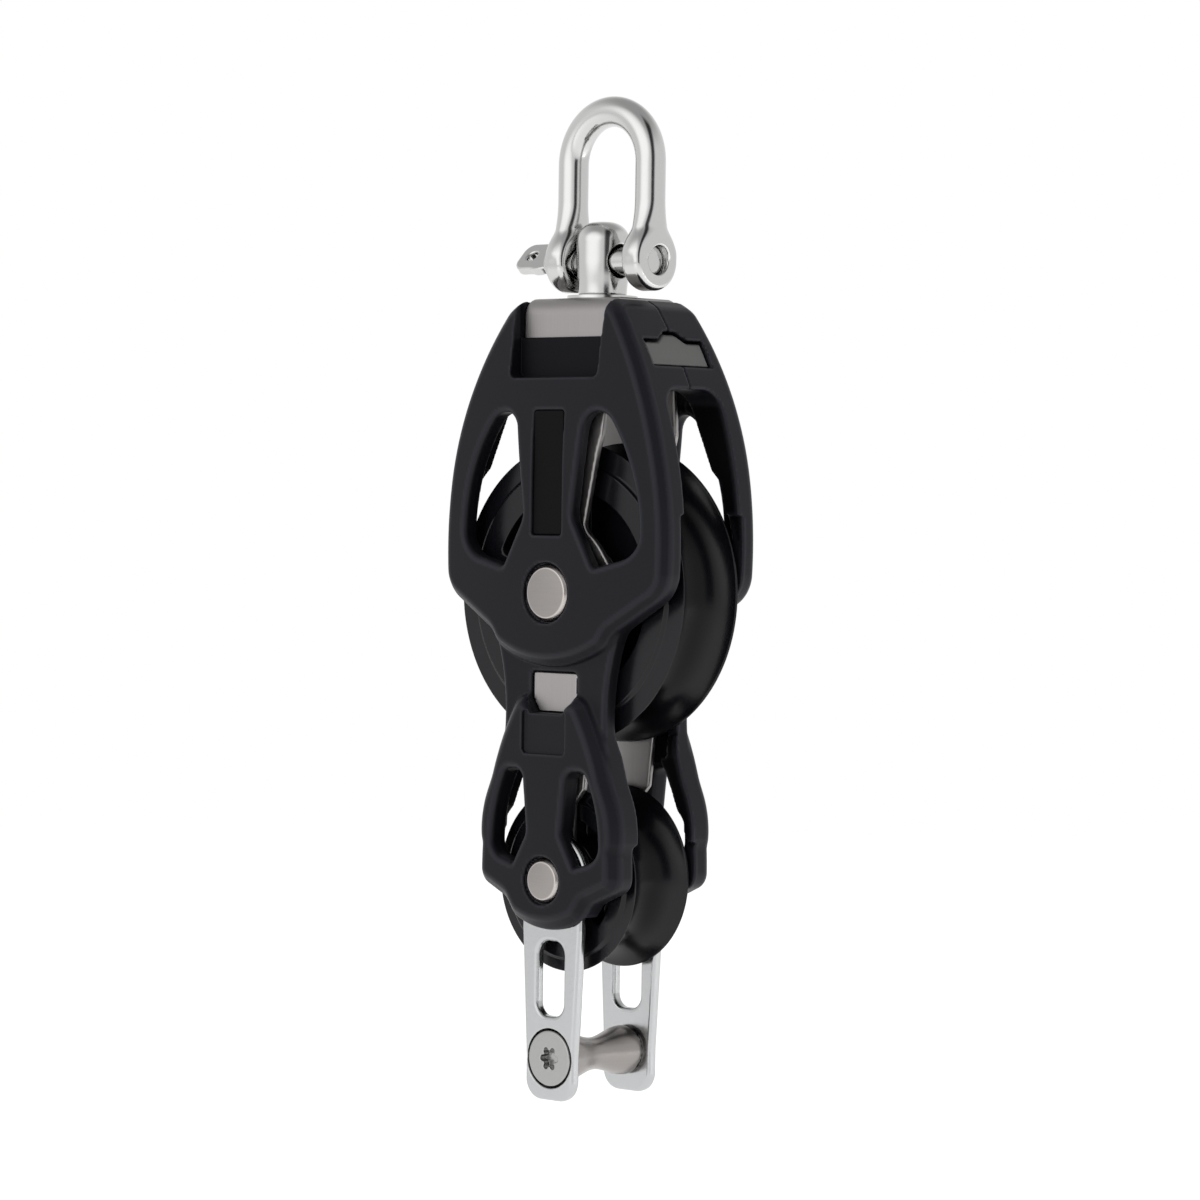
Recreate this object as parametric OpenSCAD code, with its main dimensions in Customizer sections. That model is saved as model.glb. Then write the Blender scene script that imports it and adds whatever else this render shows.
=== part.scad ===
// Double sheave block with its two sheaves in line: a swivelling shackle on top, a large
// sheave over a small one between strap-backed cheeks, and a becket with a spool below.
// X runs across the block, Y along the sheave axles, Z up. The origin is where the shackle
// bears: the inside of its crown. Lengths are in millimetres.

/* [Sheaves] */
// Diameter of the large sheave over its flanges
sheave_d = 60; // [52:0.5:70]
// Diameter of the small sheave over its flanges
small_d = 36.8; // [32:0.2:44]
// Thickness of both sheaves over their hubs
sheave_w = 17; // [15:0.1:20]
// Width between the outer edges of the two flanges of a sheave
flange_w = 16.2; // [14:0.1:17]
// Depth of the rope groove in the large sheave
groove_depth = 6.6; // [5:0.1:8]
// Depth of the rope groove in the small sheave
small_groove_depth = 5.4; // [4:0.1:6]
// Wall of the bearing sleeve inside each sheave
sleeve_wall = 1.5; // [1:0.1:2.2]
// Depth of the web pockets in each side of the sheaves
pocket_depth = 2.6; // [1:0.1:3.2]
// Number of web pockets round a sheave
pocket_count = 6; // [4:1:8]
// Space between the flanges of the two sheaves
sheave_gap = 8; // [5:0.5:14]

/* [Axles] */
// Diameter of the upper axle
axle_d = 11; // [9:0.1:13]
// Diameter of the lower axle
small_axle_d = 8.6; // [7:0.1:10]
// Chamfer on the ends of both axles
axle_chamfer = 0.5; // [0.2:0.1:0.9]
// Radial play between an axle and its sleeve
run_play = 0.05; // [0.02:0.01:0.1]
// Play on each side between a sheave hub and the strap
side_play = 0.2; // [0.15:0.05:0.6]

/* [Load strap] */
// Thickness of the load strap
strap_t = 1.4; // [1.2:0.1:2]
// Width of the load strap over the head
strap_w = 23.2; // [18:0.2:24]
// Width of the load strap at its narrow neck above the large sheave axle
strap_neck_w = 13; // [11:0.5:16]
// Width of the load strap between the axles
strap_mid_w = 16; // [12:0.5:18]
// Radius of the strap round the upper axle
strap_eye_r = 12.5; // [10:0.5:14]
// Radius of the strap round the lower axle
small_eye_r = 8.6; // [7.5:0.1:9]
// Outside radius of the bends at the top of the strap
strap_bend_r = 3.4; // [2.4:0.1:4]

/* [Cheeks] */
// Thickness of the cheeks outside the strap
cheek_t = 5.4; // [4.4:0.1:6.5]
// Room for rope above the large sheave
rope_room = 10; // [8:0.5:14]
// Height of the head over the rope opening
head_h = 18; // [17.6:0.1:21]
// Radius of the long curve down each side of the upper cheek
side_r = 80; // [70:1:100]
// Height of the widest point of the upper cheek over its axle
belly_h = 9; // [6:0.5:12]
// Radius of the lower corners of the upper cheek
corner_r = 6; // [4:0.5:7]
// How far the upper cheek reaches below its axle
tip_drop = 14.3; // [13:0.1:15]
// Width of the rim that runs round each cheek
rim_w = 2.6; // [2:0.1:3]
// How far each cheek face falls back from its middle to its edge
crown_drop = 1.5; // [0.8:0.1:2]
// Thickness of the plate that joins the upper and lower cheeks
neck_t = 2.3; // [1.6:0.1:2.6]
// Least width of that plate
neck_w = 27; // [24:0.5:32]
// Width of the opening in that plate, where the strap shows
neck_window_w = 11.6; // [8:0.2:12]
// Half width of the lower cheek outside the small sheave radius
small_lip = 0.7; // [0.3:0.1:1.5]
// Radius of the long curve down each side of the lower cheek
small_side_r = 64; // [58:1:80]
// How far the lower cheek reaches below its axle
small_tip_drop = 9.7; // [9.2:0.1:11]
// Gap round an axle end in its cheek
axle_ring = 0.8; // [0.4:0.1:1.2]

/* [Label plates] */
// Width of the blank label plate
label_w = 7.8; // [5:0.2:9]
// Length of the blank label plate
label_h = 24.3; // [18:0.1:25]
// Thickness of the blank label plate
label_t = 0.6; // [0.3:0.1:0.8]
// Depth of the label panel in the cheek
label_depth = 1.2; // [0.8:0.1:1.6]

/* [Shackle] */
// Diameter of the shackle bar
bar_d = 6; // [5:0.1:6.5]
// Space between the legs of the bow at the crown
bow_gap = 14.6; // [14.2:0.1:18]
// Distance from the pin axis to the inside of the crown
bow_h = 26.6; // [22:0.1:32]
// Thickness of each ear
ear_t = 5; // [4:0.1:5.6]
// Diameter of each ear
ear_d = 12; // [10.4:0.1:12.6]
// Rounding of the ear edges
ear_round = 1.2; // [0.6:0.1:1.8]
// Diameter of the shackle pin
pin_d = 5.6; // [4.6:0.1:6]
// Radial play of the pin in the ears
pin_play = 0.05; // [0.02:0.01:0.1]
// How far the pin stops inside the outer face of the right ear
pin_recess = 1.8; // [0:0.1:2.5]
// Diameter of the collar on the pin
pin_collar_d = 8.4; // [7.4:0.1:9.4]
// Thickness of the collar on the pin
pin_collar_t = 1.3; // [0.8:0.1:2]
// Length of the flat tab on the pin
tab_l = 9; // [6:0.1:10]
// Width of the flat tab
tab_w = 6.6; // [6:0.1:8]
// Thickness of the flat tab
tab_t = 2; // [1.6:0.1:3]
// Diameter of the hole in the tab
tab_hole_d = 2.3; // [1.6:0.1:3]
// Angle from upright at which the tab comes to rest
tab_tilt = 44; // [0:2:90]
// How far the bow sits to one side of the swivel eye
bow_shift = 2; // [0:0.1:2]

/* [Swivel] */
// Diameter of the swivel eye
eye_d = 10.6; // [9.6:0.1:11.6]
// Thickness of the eye along the pin
eye_t = 10.2; // [9:0.1:10.2]
// Height of the pin axis over the top of the head
eye_rise = 7.4; // [7:0.1:9]
// Height of the eye top over the pin axis
eye_top = 7.9; // [6.8:0.1:9]
// Diameter of the eye at its foot
eye_foot_d = 9.6; // [9:0.1:10]
// Diameter of the mouth of the pin hole in the eye
eye_mouth_d = 7.4; // [6.6:0.1:8]
// Diameter of the swivel shank
shank_d = 8; // [7:0.1:9]
// Gap between the faces that turn on each other
turn_gap = 0.05; // [0.03:0.01:0.1]
// Diameter of the washer on top of the head
top_washer_d = 14; // [12:0.1:16]
// Thickness of the washer on top of the head
top_washer_t = 0.6; // [0.4:0.1:1]
// Diameter of the index collar
collar_d = 15; // [13:0.1:16]
// Thickness of the thrust washer
thrust_t = 1.2; // [0.8:0.1:1.6]
// Height of the swivel nut
nut_h = 4.6; // [4:0.1:5]
// Width of the swivel nut across its flats
nut_af = 13; // [11:0.1:14]
// Height of the index collar
collar_h = 5; // [4.4:0.1:5.4]
// Number of notches in the index collar
notch_count = 4; // [4:4:8]
// Depth of a notch in the index collar
notch_depth = 2.3; // [1.6:0.1:2.4]

/* [Lock slide] */
// Width of the lock slide
lock_w = 16.4; // [12:0.1:17]
// Height of the lock slide at its sides
lock_h = 4.6; // [4:0.1:4.8]
// Height of the bump in the middle of its top edge
lock_bump = 1.6; // [0.5:0.1:2]
// Width of the tongue that enters a notch
tongue_w = 4; // [2.5:0.1:4.4]
// Travel of the lock slide
lock_travel = 2.4; // [1.5:0.1:2.6]
// Gap round the lock slide and round its tongue in a notch
lock_gap = 0.2; // [0.15:0.05:0.4]

/* [Becket] */
// Thickness of the becket plates
becket_t = 2.3; // [1.8:0.1:2.8]
// Width of a becket plate just below the cheek
becket_w = 15.6; // [13:0.1:16]
// Width of a becket plate at the spool
becket_foot_w = 12.8; // [12.2:0.1:14]
// Distance from the lower axle to the spool
becket_l = 35.1; // [32:0.1:40]
// How far a becket plate reaches below the spool axis
becket_foot = 8.3; // [7:0.1:10]
// Radius of the bottom corners of a becket plate
becket_corner_r = 4; // [2:0.1:5]
// Width of the slot in a becket plate
becket_slot_w = 7; // [5:0.1:8]
// Length of the slot in a becket plate
becket_slot_l = 14.8; // [8:0.1:16]
// Distance from the lower axle to the top of that slot
becket_slot_drop = 12; // [11:0.1:14]
// Diameter of the waist of the spool
spool_waist_d = 6.4; // [6:0.1:8]
// Diameter of the spool at its ends
spool_end_d = 9.8; // [8.6:0.1:11]
// Length of the narrow collar at each end of the spool
spool_collar = 1; // [0.5:0.1:2]
// Diameter of the becket screw heads
screw_head_d = 11.2; // [9:0.1:11.4]
// Diameter of the becket screws
screw_d = 5; // [4:0.1:5.2]
// How far each becket screw goes into the spool
screw_reach = 6; // [4:0.5:8]

/* [Hidden] */

$fn = 64;
cut = 1;                 // how far a cutting solid runs past the face that it cuts
fit = 0.1;               // gap round the strap and the plates inside the mouldings
seat_gap = 0.02;         // radial gap round an axle in the steel that carries it
flange_gap = 0.6;        // radial gap round the flanges of a sheave in the cheeks

sheave_r = sheave_d / 2;
small_r = small_d / 2;
low_z = -(sheave_r + sheave_gap + small_r);
strap_in = sheave_w / 2 + side_play;
strap_out = strap_in + strap_t;
face_y = strap_out + cheek_t;
head_z = sheave_r + rope_room;
top_z = head_z + head_h;
pin_z = top_z + eye_rise;
crown_z = pin_z + bow_h;
rim_y = strap_in - 0.8;  // inner edge of the rims, level with the flanges
strap_hw = strap_w / 2;
cavity_hw = strap_hw + fit;
roof_z = top_z - strap_t;
floor_t = 1.8;           // thickness of the floor of the head, over the rope
floor_z = head_z + floor_t;

steel = [0.74, 0.73, 0.72];
bright = [0.86, 0.87, 0.89];
black = [0.15, 0.15, 0.17];
web_black = [0.09, 0.09, 0.1];
grey = [0.37, 0.37, 0.36];
bronze = [0.8, 0.78, 0.7];

// Moves what is drawn about the upper axle to its place under the shackle.
module in_block() {
    translate([-bow_shift, 0, -crown_z]) children();
}

// Points along an arc about c, from angle a0 to angle a1.
function arc(c, r, a0, a1, n) =
    [for (i = [0 : n]) c + r * [cos(a0 + (a1 - a0) * i / n), sin(a0 + (a1 - a0) * i / n)]];

// A right-hand outline, from top to bottom, and its mirror image on the left.
function both_sides(p) = concat(p, [for (i = [len(p) - 1 : -1 : 0]) [-p[i][0], p[i][1]]]);

// A flat outline in X and Z, drawn out along Y from y0 to y1.
module slab(points, y0, y1) {
    translate([0, y1, 0]) rotate([90, 0, 0]) linear_extrude(y1 - y0) polygon(points);
}

// A round bar along Y.
module bar_y(d, y0, y1) {
    translate([0, y1, 0]) rotate([90, 0, 0]) cylinder(d = d, h = y1 - y0);
}

// A block given by its low and high corners.
module block(low, high) {
    translate(low) cube(high - low);
}

// Outline of the upper cheek, drawn in by a distance.
side_c = [sheave_r - side_r, belly_h];
shoulder_a = -4;         // where the side curve meets the lower corner
diagonal_a = -55;        // where the lower corner meets the straight
tip_r = 28;              // radius of the curve under the axle
tip_a = 26;              // half angle of that curve
function upper_outline(i) = let(
        top = top_z - i,
        r = side_r - i,
        corner_c = side_c + (side_r - corner_r) * [cos(shoulder_a), sin(shoulder_a)],
        tip_c = [0, tip_r - tip_drop])
    both_sides(concat(
        arc(side_c, r, asin((top - belly_h) / r), shoulder_a, 24),
        arc(corner_c, corner_r - i, shoulder_a - 8, diagonal_a, 6),
        arc(tip_c, tip_r - i, -90 + tip_a, -90 + 2, 6)));

// Outline of the lower cheek, drawn in by a distance.
small_belly_h = 1.7;     // height of the widest point of the lower cheek over its axle
small_side_c = [small_r + small_lip - small_side_r, low_z + small_belly_h];
horn_z = -tip_drop - 6.1;
horn_x = 7.2;
small_corner_r = 4;
small_tip_r = 19;
small_kink = [11.6, -3.8];   // hollow between the corner and the tip
function lower_outline(i) = let(
        r = small_side_r - i,
        corner_c = small_side_c + (small_side_r - small_corner_r) * [1, 0],
        tip_c = [0, low_z + small_tip_r - small_tip_drop])
    both_sides(concat(
        [[horn_x - i / 2, horn_z - i]],
        arc(small_side_c, r, asin((horn_z - 3.4 - small_side_c[1]) / r), 0, 18),
        arc(corner_c, small_corner_r - i, -10, diagonal_a, 5),
        [[small_kink[0] - i / 2, low_z + small_kink[1] + i]],
        arc(tip_c, small_tip_r - i, -90 + 28, -90 + 2, 6)));

// Outline of the plate between the cheeks, hollow at its sides.
neck_r = 45;             // radius of the hollow sides
neck_mid = horn_z - 3.6;
function neck_outline() = both_sides(
    arc([neck_w / 2 + neck_r, neck_mid], neck_r, 180 - 24, 180 + 16, 12));

// Side view of the outer faces, from the foot of the cheeks to the rounded top of the head.
back_start = 22;         // height at which the face starts to lean in
back_r = 190;            // radius of that lean
top_round = 4;           // rounding along the top edge of the head
function face_at(z) = face_y - (back_r - sqrt(back_r * back_r - pow(z - back_start, 2)));
side_view = concat(
    [[0, top_z]],
    arc([face_at(top_z - top_round) - top_round, top_z - top_round], top_round, 80, 0, 6),
    [for (k = [5 : -1 : 0]) let(z = back_start + (top_z - top_round - back_start) * k / 6) [face_at(z), z]],
    [[face_y, low_z - small_tip_drop - cut], [0, low_z - small_tip_drop - cut]]);

// The rounded outside of the cheeks: crowned across, leaning in at the top, edges chamfered.
chamfer = 3.2;           // chamfer of the upper cheek, before the crown cuts into it
small_chamfer = 2.7;     // chamfer of the lower cheek
crown_r = pow(sheave_r - 2, 2) / 2 / crown_drop;
module outside() {
    intersection() {
        translate([sheave_r * 2, 0, 0]) rotate([90, 0, -90])
            linear_extrude(sheave_r * 4) polygon([for (p = side_view) [-p[0], p[1]]]);
        translate([0, face_y - crown_r, low_z * 2]) cylinder(r = crown_r, h = top_z - low_z * 3, $fn = 200);
        union() {
            hull() {
                slab(upper_outline(0), -cut, face_y - chamfer);
                slab(upper_outline(chamfer), 0, face_y);
            }
            hull() {
                slab(lower_outline(0), -cut, face_y - small_chamfer);
                slab(lower_outline(small_chamfer), 0, face_y);
            }
            slab(neck_outline(), 0, strap_out + neck_t);
        }
    }
}

// One long window in a cheek, on its right-hand side, beside the column to the axle.
//   z0 axle height, boss radius round it, cap = centre of the round top, cap_r its radius,
//   out = radius and X of the outer curve, toe = lower corner of that curve
function window(z0, boss, cap, cap_r, out_x, out_r, toe_z, toe_r, toe_a) = concat(
    arc(cap, cap_r, 165, 35, 6),
    arc([out_x - out_r, toe_z], out_r, asin((cap[1] - 1 - toe_z) / out_r), 0, 8),
    arc([out_x - toe_r, toe_z], toe_r, -15, -75, 4),
    arc([0, z0], boss, toe_a, 60, 5));

upper_window = window(0, 14.4, [12.7, head_z - 8.8], 4.2, sheave_r - 6, 41.8, 10.9, 3.6, 22);
lower_window = window(low_z, 10, [8, low_z + 19.2], 2.3, small_r - 4.2, 30, low_z + 7, 2.6, 20);

module windows(points) {
    for (side = [0, 1]) mirror([side, 0, 0]) slab(points, 0, face_y + cut);
}

// Slanted window in the side of the head, in Y and Z, which the lock slide fills.
lock_z = head_z + 4.6;
function lock_outline(g) = [
    [-lock_w / 2 - g, -g], [lock_w / 2 + g, -g], [lock_w / 2 + g, lock_h + g],
    [lock_w / 4 + g, lock_h + g], [lock_w / 10, lock_h + lock_bump + g],
    [-lock_w / 10, lock_h + lock_bump + g], [-lock_w / 4 - g, lock_h + g], [-lock_w / 2 - g, lock_h + g]];
module lock_prism(g, x0, x1) {
    translate([x0, 0, lock_z]) rotate([90, 0, 90]) linear_extrude(x1 - x0) polygon(lock_outline(g));
}

// Where the strap shows at the head, and the panel below it.
show_z = top_z - 7.8;
panel_z = head_z + 2.2;
panel_y = strap_out + 0.7;

rim_end = 6;             // depth under the upper axle at which the rims of the upper cheek end
rim_foot = 10;           // height over the lower axle at which the rims of the lower cheek end
horn_h = 3.1;            // height of the two horns beside the opening over the strap
lip_h = 1.1;             // height of neck plate left between the upper cheek and that opening
ring_depth = 1;          // depth of the ring gap round an axle end

// Rounding in the top corner of the rope opening, between the head and a rim.
opening_r = 4;
module opening_fillet() {
    difference() {
        block([-sheave_r, rim_y - opening_r, head_z - opening_r], [sheave_r, rim_y + cut, head_z + cut]);
        translate([-sheave_r - cut, rim_y - opening_r, head_z - opening_r]) rotate([0, 90, 0])
            cylinder(r = opening_r, h = sheave_d + 2 * cut);
    }
}

// One cheek moulding, drawn on the +Y side.
module cheek() {
    difference() {
        intersection() {
            outside();
            union() {
                slab(upper_outline(0), rim_y, face_y);
                intersection() {
                    slab(upper_outline(0), 0, face_y);
                    block([-sheave_r * 2, 0, head_z], [sheave_r * 2, face_y, top_z]);
                }
                slab(lower_outline(0), rim_y, face_y);
                slab(neck_outline(), strap_out, strap_out + neck_t);
                opening_fillet();
            }
        }
        // hollow back inside the rims, and room for the flanges
        intersection() {
            slab(upper_outline(rim_w), -cut, strap_out);
            block([-sheave_r * 2, -cut, low_z], [sheave_r * 2, face_y, head_z]);
        }
        slab(lower_outline(rim_w), -cut, strap_out);
        bar_y(sheave_d + 2 * flange_gap, -cut, strap_in);
        translate([0, 0, low_z]) bar_y(small_d + 2 * flange_gap, -cut, strap_in);
        // open along the neck, which has no rims
        block([-neck_w, -cut, low_z + rim_foot], [neck_w, strap_out, -rim_end]);
        // strap and swivel room in the head
        block([-cavity_hw, strap_in - turn_gap, head_z - cut], [cavity_hw, strap_out, top_z + cut]);
        block([-cavity_hw, -cut, floor_z], [cavity_hw, strap_in, top_z + cut]);
        block([-cavity_hw, strap_out - cut, show_z], [cavity_hw, face_y + cut, top_z + cut]);
        block([-cavity_hw, panel_y, panel_z], [cavity_hw, face_y + cut, show_z + cut]);
        lock_prism(lock_gap, cavity_hw - cut, sheave_r);
        // windows, label panel and the opening over the strap
        windows(upper_window);
        windows(lower_window);
        block([-label_w / 2 - fit, face_y - label_depth, label_z - fit],
            [label_w / 2 + fit, face_y + cut, label_z + label_h + fit]);
        block([-neck_window_w / 2, 0, horn_z - horn_h], [neck_window_w / 2, face_y + cut, -tip_drop - lip_h]);
        // seats of the axles
        bar_y(axle_d + 2 * fit, 0, face_y + cut);
        bar_y(axle_d + 2 * axle_ring, face_y - ring_depth, face_y + cut);
        translate([0, 0, low_z]) bar_y(small_axle_d + 2 * fit, 0, face_y + cut);
        translate([0, 0, low_z]) bar_y(small_axle_d + 2 * axle_ring, face_y - ring_depth, face_y + cut);
        // room for the becket plate, open at the bottom
        translate([0, 0, low_z]) bar_y(2 * (becket_eye_r + fit), 0, strap_out + becket_t + fit);
        block([-becket_eye_r - fit, 0, low_z - small_tip_drop - cut],
            [becket_eye_r + fit, strap_out + becket_t + fit, low_z]);
    }
}

label_z = head_z - 4.3 - label_h;
becket_eye_r = 9.3;

module cheek_near() {
    color(black) in_block() mirror([0, 1, 0]) cheek();
}

module cheek_far() {
    color(black) in_block() cheek();
}

module label_plate() {
    translate([0, 0, label_z])
        block([-label_w / 2, face_y - label_depth, 0], [label_w / 2, face_y - label_depth + label_t, label_h]);
}

module label_near() {
    color(grey) in_block() mirror([0, 1, 0]) label_plate();
}

module label_far() {
    color(grey) in_block() label_plate();
}

// Outline of the load strap, from the head down to the lower axle.
taper_end = 2;           // how far each taper stops short of the head and of the round ends
function strap_taper() = both_sides([
    [strap_hw, top_z + cut], [strap_hw, head_z - taper_end], [strap_neck_w / 2, strap_eye_r + taper_end],
    [strap_neck_w / 2, 0]]);
function strap_tail() = both_sides([
    [strap_mid_w / 2, 0], [strap_mid_w / 2, low_z + small_eye_r + taper_end],
    [small_eye_r * 0.8, low_z]]);

// A strip bent over the head, seen from the side: two legs and rounded shoulders.
module bent_strip(out, top, r, foot) {
    block([-strap_w, -out, foot], [strap_w, out, top - r]);
    block([-strap_w, -out + r, foot], [strap_w, out - r, top]);
    for (y = [r - out, out - r])
        translate([-strap_w, y, top - r]) rotate([0, 90, 0]) cylinder(r = r, h = 2 * strap_w);
}

module load_strap() {
    color(steel) in_block() difference() {
        intersection() {
            bent_strip(strap_out, top_z, strap_bend_r, low_z * 2);
            union() {
                slab(strap_taper(), -face_y, face_y);
                slab(strap_tail(), -face_y, face_y);
                bar_y(2 * strap_eye_r, -face_y, face_y);
                translate([0, 0, low_z]) bar_y(2 * small_eye_r, -face_y, face_y);
            }
        }
        bent_strip(strap_in, roof_z, strap_bend_r - strap_t, low_z * 3);
        bar_y(axle_d + 2 * seat_gap, -face_y, face_y);
        translate([0, 0, low_z]) bar_y(small_axle_d + 2 * seat_gap, -face_y, face_y);
        translate([0, 0, roof_z - cut]) cylinder(d = shank_d + 4 * run_play, h = strap_t + 2 * cut);
    }
}

// Swivel: a barrel with a domed top and a belled hole for the pin, on a round shank.
eye_foot_h = 2;          // height of the narrow foot of the eye
dome_r = 4;              // rounding of the top of the eye
shank_end = 0.6;         // how far the shank stands out below the index collar
module swivel_eye() {
    foot = top_z + top_washer_t + turn_gap;
    end = collar_z - shank_end;
    shoulder = pin_z + eye_top - dome_r;
    color(bright) in_block() difference() {
        union() {
            intersection() {
                rotate_extrude() polygon(concat(
                    [[0, foot], [eye_foot_d / 2, foot], [eye_foot_d / 2, foot + eye_foot_h],
                        [eye_d / 2, pin_z - eye_foot_h], [eye_d / 2, shoulder]],
                    arc([eye_d / 2 - dome_r, shoulder], dome_r, 15, 90, 6),
                    [[0, pin_z + eye_top]]));
                block([-eye_t / 2, -eye_d, foot], [eye_t / 2, eye_d, pin_z + eye_top]);
            }
            translate([0, 0, end]) cylinder(d = shank_d, h = foot - end);
        }
        translate([-eye_d, 0, pin_z]) rotate([0, 90, 0]) cylinder(d = pin_d + 2 * pin_play, h = 2 * eye_d);
        translate([0, 0, pin_z]) rotate([0, 90, 0]) rotate_extrude() bell();
        translate([0, 0, pin_z]) rotate([0, -90, 0]) rotate_extrude() bell();
    }
}

// Half section of the belled mouth of the pin hole.
bell_start = 1.2;        // half length of the straight middle of the hole
module bell() {
    flare = (eye_mouth_d - pin_d) / 2;
    polygon(concat(
        [[0, bell_start], [pin_d / 2, bell_start]],
        [for (a = [0 : 18 : 90]) [pin_d / 2 + flare * (1 - cos(a)),
            bell_start + (eye_t / 2 - bell_start) * sin(a)]],
        [[0, eye_t / 2]]));
}

module ring(d_out, d_in, z0, z1) {
    difference() {
        translate([0, 0, z0]) cylinder(d = d_out, h = z1 - z0);
        translate([0, 0, z0 - cut]) cylinder(d = d_in, h = z1 - z0 + 2 * cut);
    }
}

thrust_d = 2 * (strap_in - (strap_bend_r - strap_t)) - 0.4;   // flat part of the roof
thrust_z = roof_z - turn_gap - thrust_t;
nut_z = thrust_z - nut_h;
collar_z = nut_z - collar_h;

module top_washer() {
    color(bright) in_block() ring(top_washer_d, shank_d, top_z + turn_gap, top_z + turn_gap + top_washer_t);
}

module thrust_washer() {
    color(bronze) in_block() ring(thrust_d, shank_d, thrust_z, thrust_z + thrust_t);
}

module swivel_nut() {
    color(steel) in_block() difference() {
        translate([0, 0, nut_z]) cylinder(d = nut_af / cos(30), h = nut_h, $fn = 6);
        translate([0, 0, nut_z - cut]) cylinder(d = shank_d, h = nut_h + 2 * cut);
    }
}

module index_collar() {
    notch_w = tongue_w + 2 * lock_gap;
    color(steel) in_block() difference() {
        ring(collar_d, shank_d, collar_z, collar_z + collar_h);
        for (k = [0 : notch_count - 1]) rotate([0, 0, 360 * k / notch_count])
            block([collar_d / 2 - notch_depth, -notch_w / 2, collar_z - cut],
                [collar_d, notch_w / 2, collar_z + collar_h + cut]);
    }
}

// The lock slide fills its window and has a tongue that reaches for the index collar.
tongue_gap = 0.4;        // gap between the tongue and the index collar
lock_inset = 0.5;        // how far the slide lies inside the side of the head
module lock_slide() {
    back = cavity_hw + lock_travel;
    tip = collar_d / 2 + tongue_gap;
    color(grey) in_block() union() {
        intersection() {
            lock_prism(0, back, sheave_r);
            slab(upper_outline(lock_inset), -lock_w, lock_w);
        }
        block([tip, -tongue_w / 2, lock_z], [back, tongue_w / 2, lock_z + lock_h]);
    }
}

// Axle with chamfered ends, flush with the cheeks.
module axle(d) {
    bar_y(d, axle_chamfer - face_y, face_y - axle_chamfer);
    for (side = [0, 1]) mirror([0, side, 0])
        translate([0, face_y - axle_chamfer, 0]) rotate([-90, 0, 0])
            cylinder(d1 = d, d2 = d - 2 * axle_chamfer, h = axle_chamfer);
}

module upper_axle() {
    color(steel) in_block() axle(axle_d);
}

module lower_axle() {
    color(steel) in_block() translate([0, 0, low_z]) axle(small_axle_d);
}

// Bearing sleeve that turns with its sheave on the axle.
module sleeve(d) {
    bore = d + 2 * run_play;
    rotate([90, 0, 0]) ring(bore + 2 * sleeve_wall, bore, -sheave_w / 2, sheave_w / 2);
}

module upper_sleeve() {
    color(bronze) in_block() sleeve(axle_d);
}

module lower_sleeve() {
    color(bronze) in_block() translate([0, 0, low_z]) sleeve(small_axle_d);
}

// Sheave: round groove, chamfered flanges, and pockets in its web. d is the axle diameter.
flange_land = 0.5;       // flat edge of each flange
flange_slope = 2;        // width of the slope on the side of each flange
hub_wall = 2.4;          // wall of the hub round the sleeve
groove_wall = 1.6;       // wall under the groove, over the pockets
module sheave(r, depth, d) {
    bore_r = d / 2 + run_play + sleeve_wall;
    lip = flange_w / 2 - flange_land;
    groove_r = (lip * lip + depth * depth) / 2 / depth;
    half_a = asin(lip / groove_r);
    hub_r = bore_r + hub_wall;
    rim_r = r - depth - groove_wall;
    difference() {
        rotate([90, 0, 0]) rotate_extrude($fn = 96) polygon(concat(
            [[bore_r, -sheave_w / 2], [r - flange_slope, -sheave_w / 2], [r, -flange_w / 2]],
            [for (k = [0 : 12]) let(a = -half_a + 2 * half_a * k / 12)
                [r - depth + groove_r - groove_r * cos(a), groove_r * sin(a)]],
            [[r, flange_w / 2], [r - flange_slope, sheave_w / 2], [bore_r, sheave_w / 2]]));
        for (side = [0, 1]) mirror([0, side, 0]) for (k = [0 : pocket_count - 1])
            rotate([0, 360 * k / pocket_count, 0])
                slab(concat(arc([0, 0], rim_r, 5, 360 / pocket_count - 5, 8),
                    arc([0, 0], hub_r, 360 / pocket_count - 9, 9, 4)),
                    sheave_w / 2 - pocket_depth, sheave_w / 2 + cut);
    }
}

module upper_sheave() {
    color(web_black) in_block() sheave(sheave_r, groove_depth, axle_d);
}

module lower_sheave() {
    color(web_black) in_block() translate([0, 0, low_z]) sheave(small_r, small_groove_depth, small_axle_d);
}

// Becket plate, drawn on the +Y side: round top on the axle, a slot, and a foot.
spool_z = low_z - becket_l;
module becket_plate() {
    foot_z = spool_z - becket_foot;
    slot_z = low_z - becket_slot_drop;
    slot_r = becket_slot_w / 2;
    outer = strap_out + becket_t;
    difference() {
        union() {
            translate([0, 0, low_z]) bar_y(2 * becket_eye_r, strap_out, outer);
            slab(both_sides(concat(
                [[becket_w / 2, low_z], [becket_w / 2, low_z - small_tip_drop], [becket_foot_w / 2, spool_z]],
                arc([becket_foot_w / 2 - becket_corner_r, foot_z + becket_corner_r], becket_corner_r,
                    0, -90, 6))), strap_out, outer);
        }
        translate([0, 0, low_z]) bar_y(small_axle_d + 2 * seat_gap, strap_out - cut, outer + cut);
        for (z = [slot_z - slot_r, slot_z - becket_slot_l + slot_r])
            translate([0, 0, z]) bar_y(becket_slot_w, strap_out - cut, outer + cut);
        block([-slot_r, strap_out - cut, slot_z - becket_slot_l + slot_r],
            [slot_r, outer + cut, slot_z - slot_r]);
        translate([0, 0, spool_z]) countersink(fit);
    }
}

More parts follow.
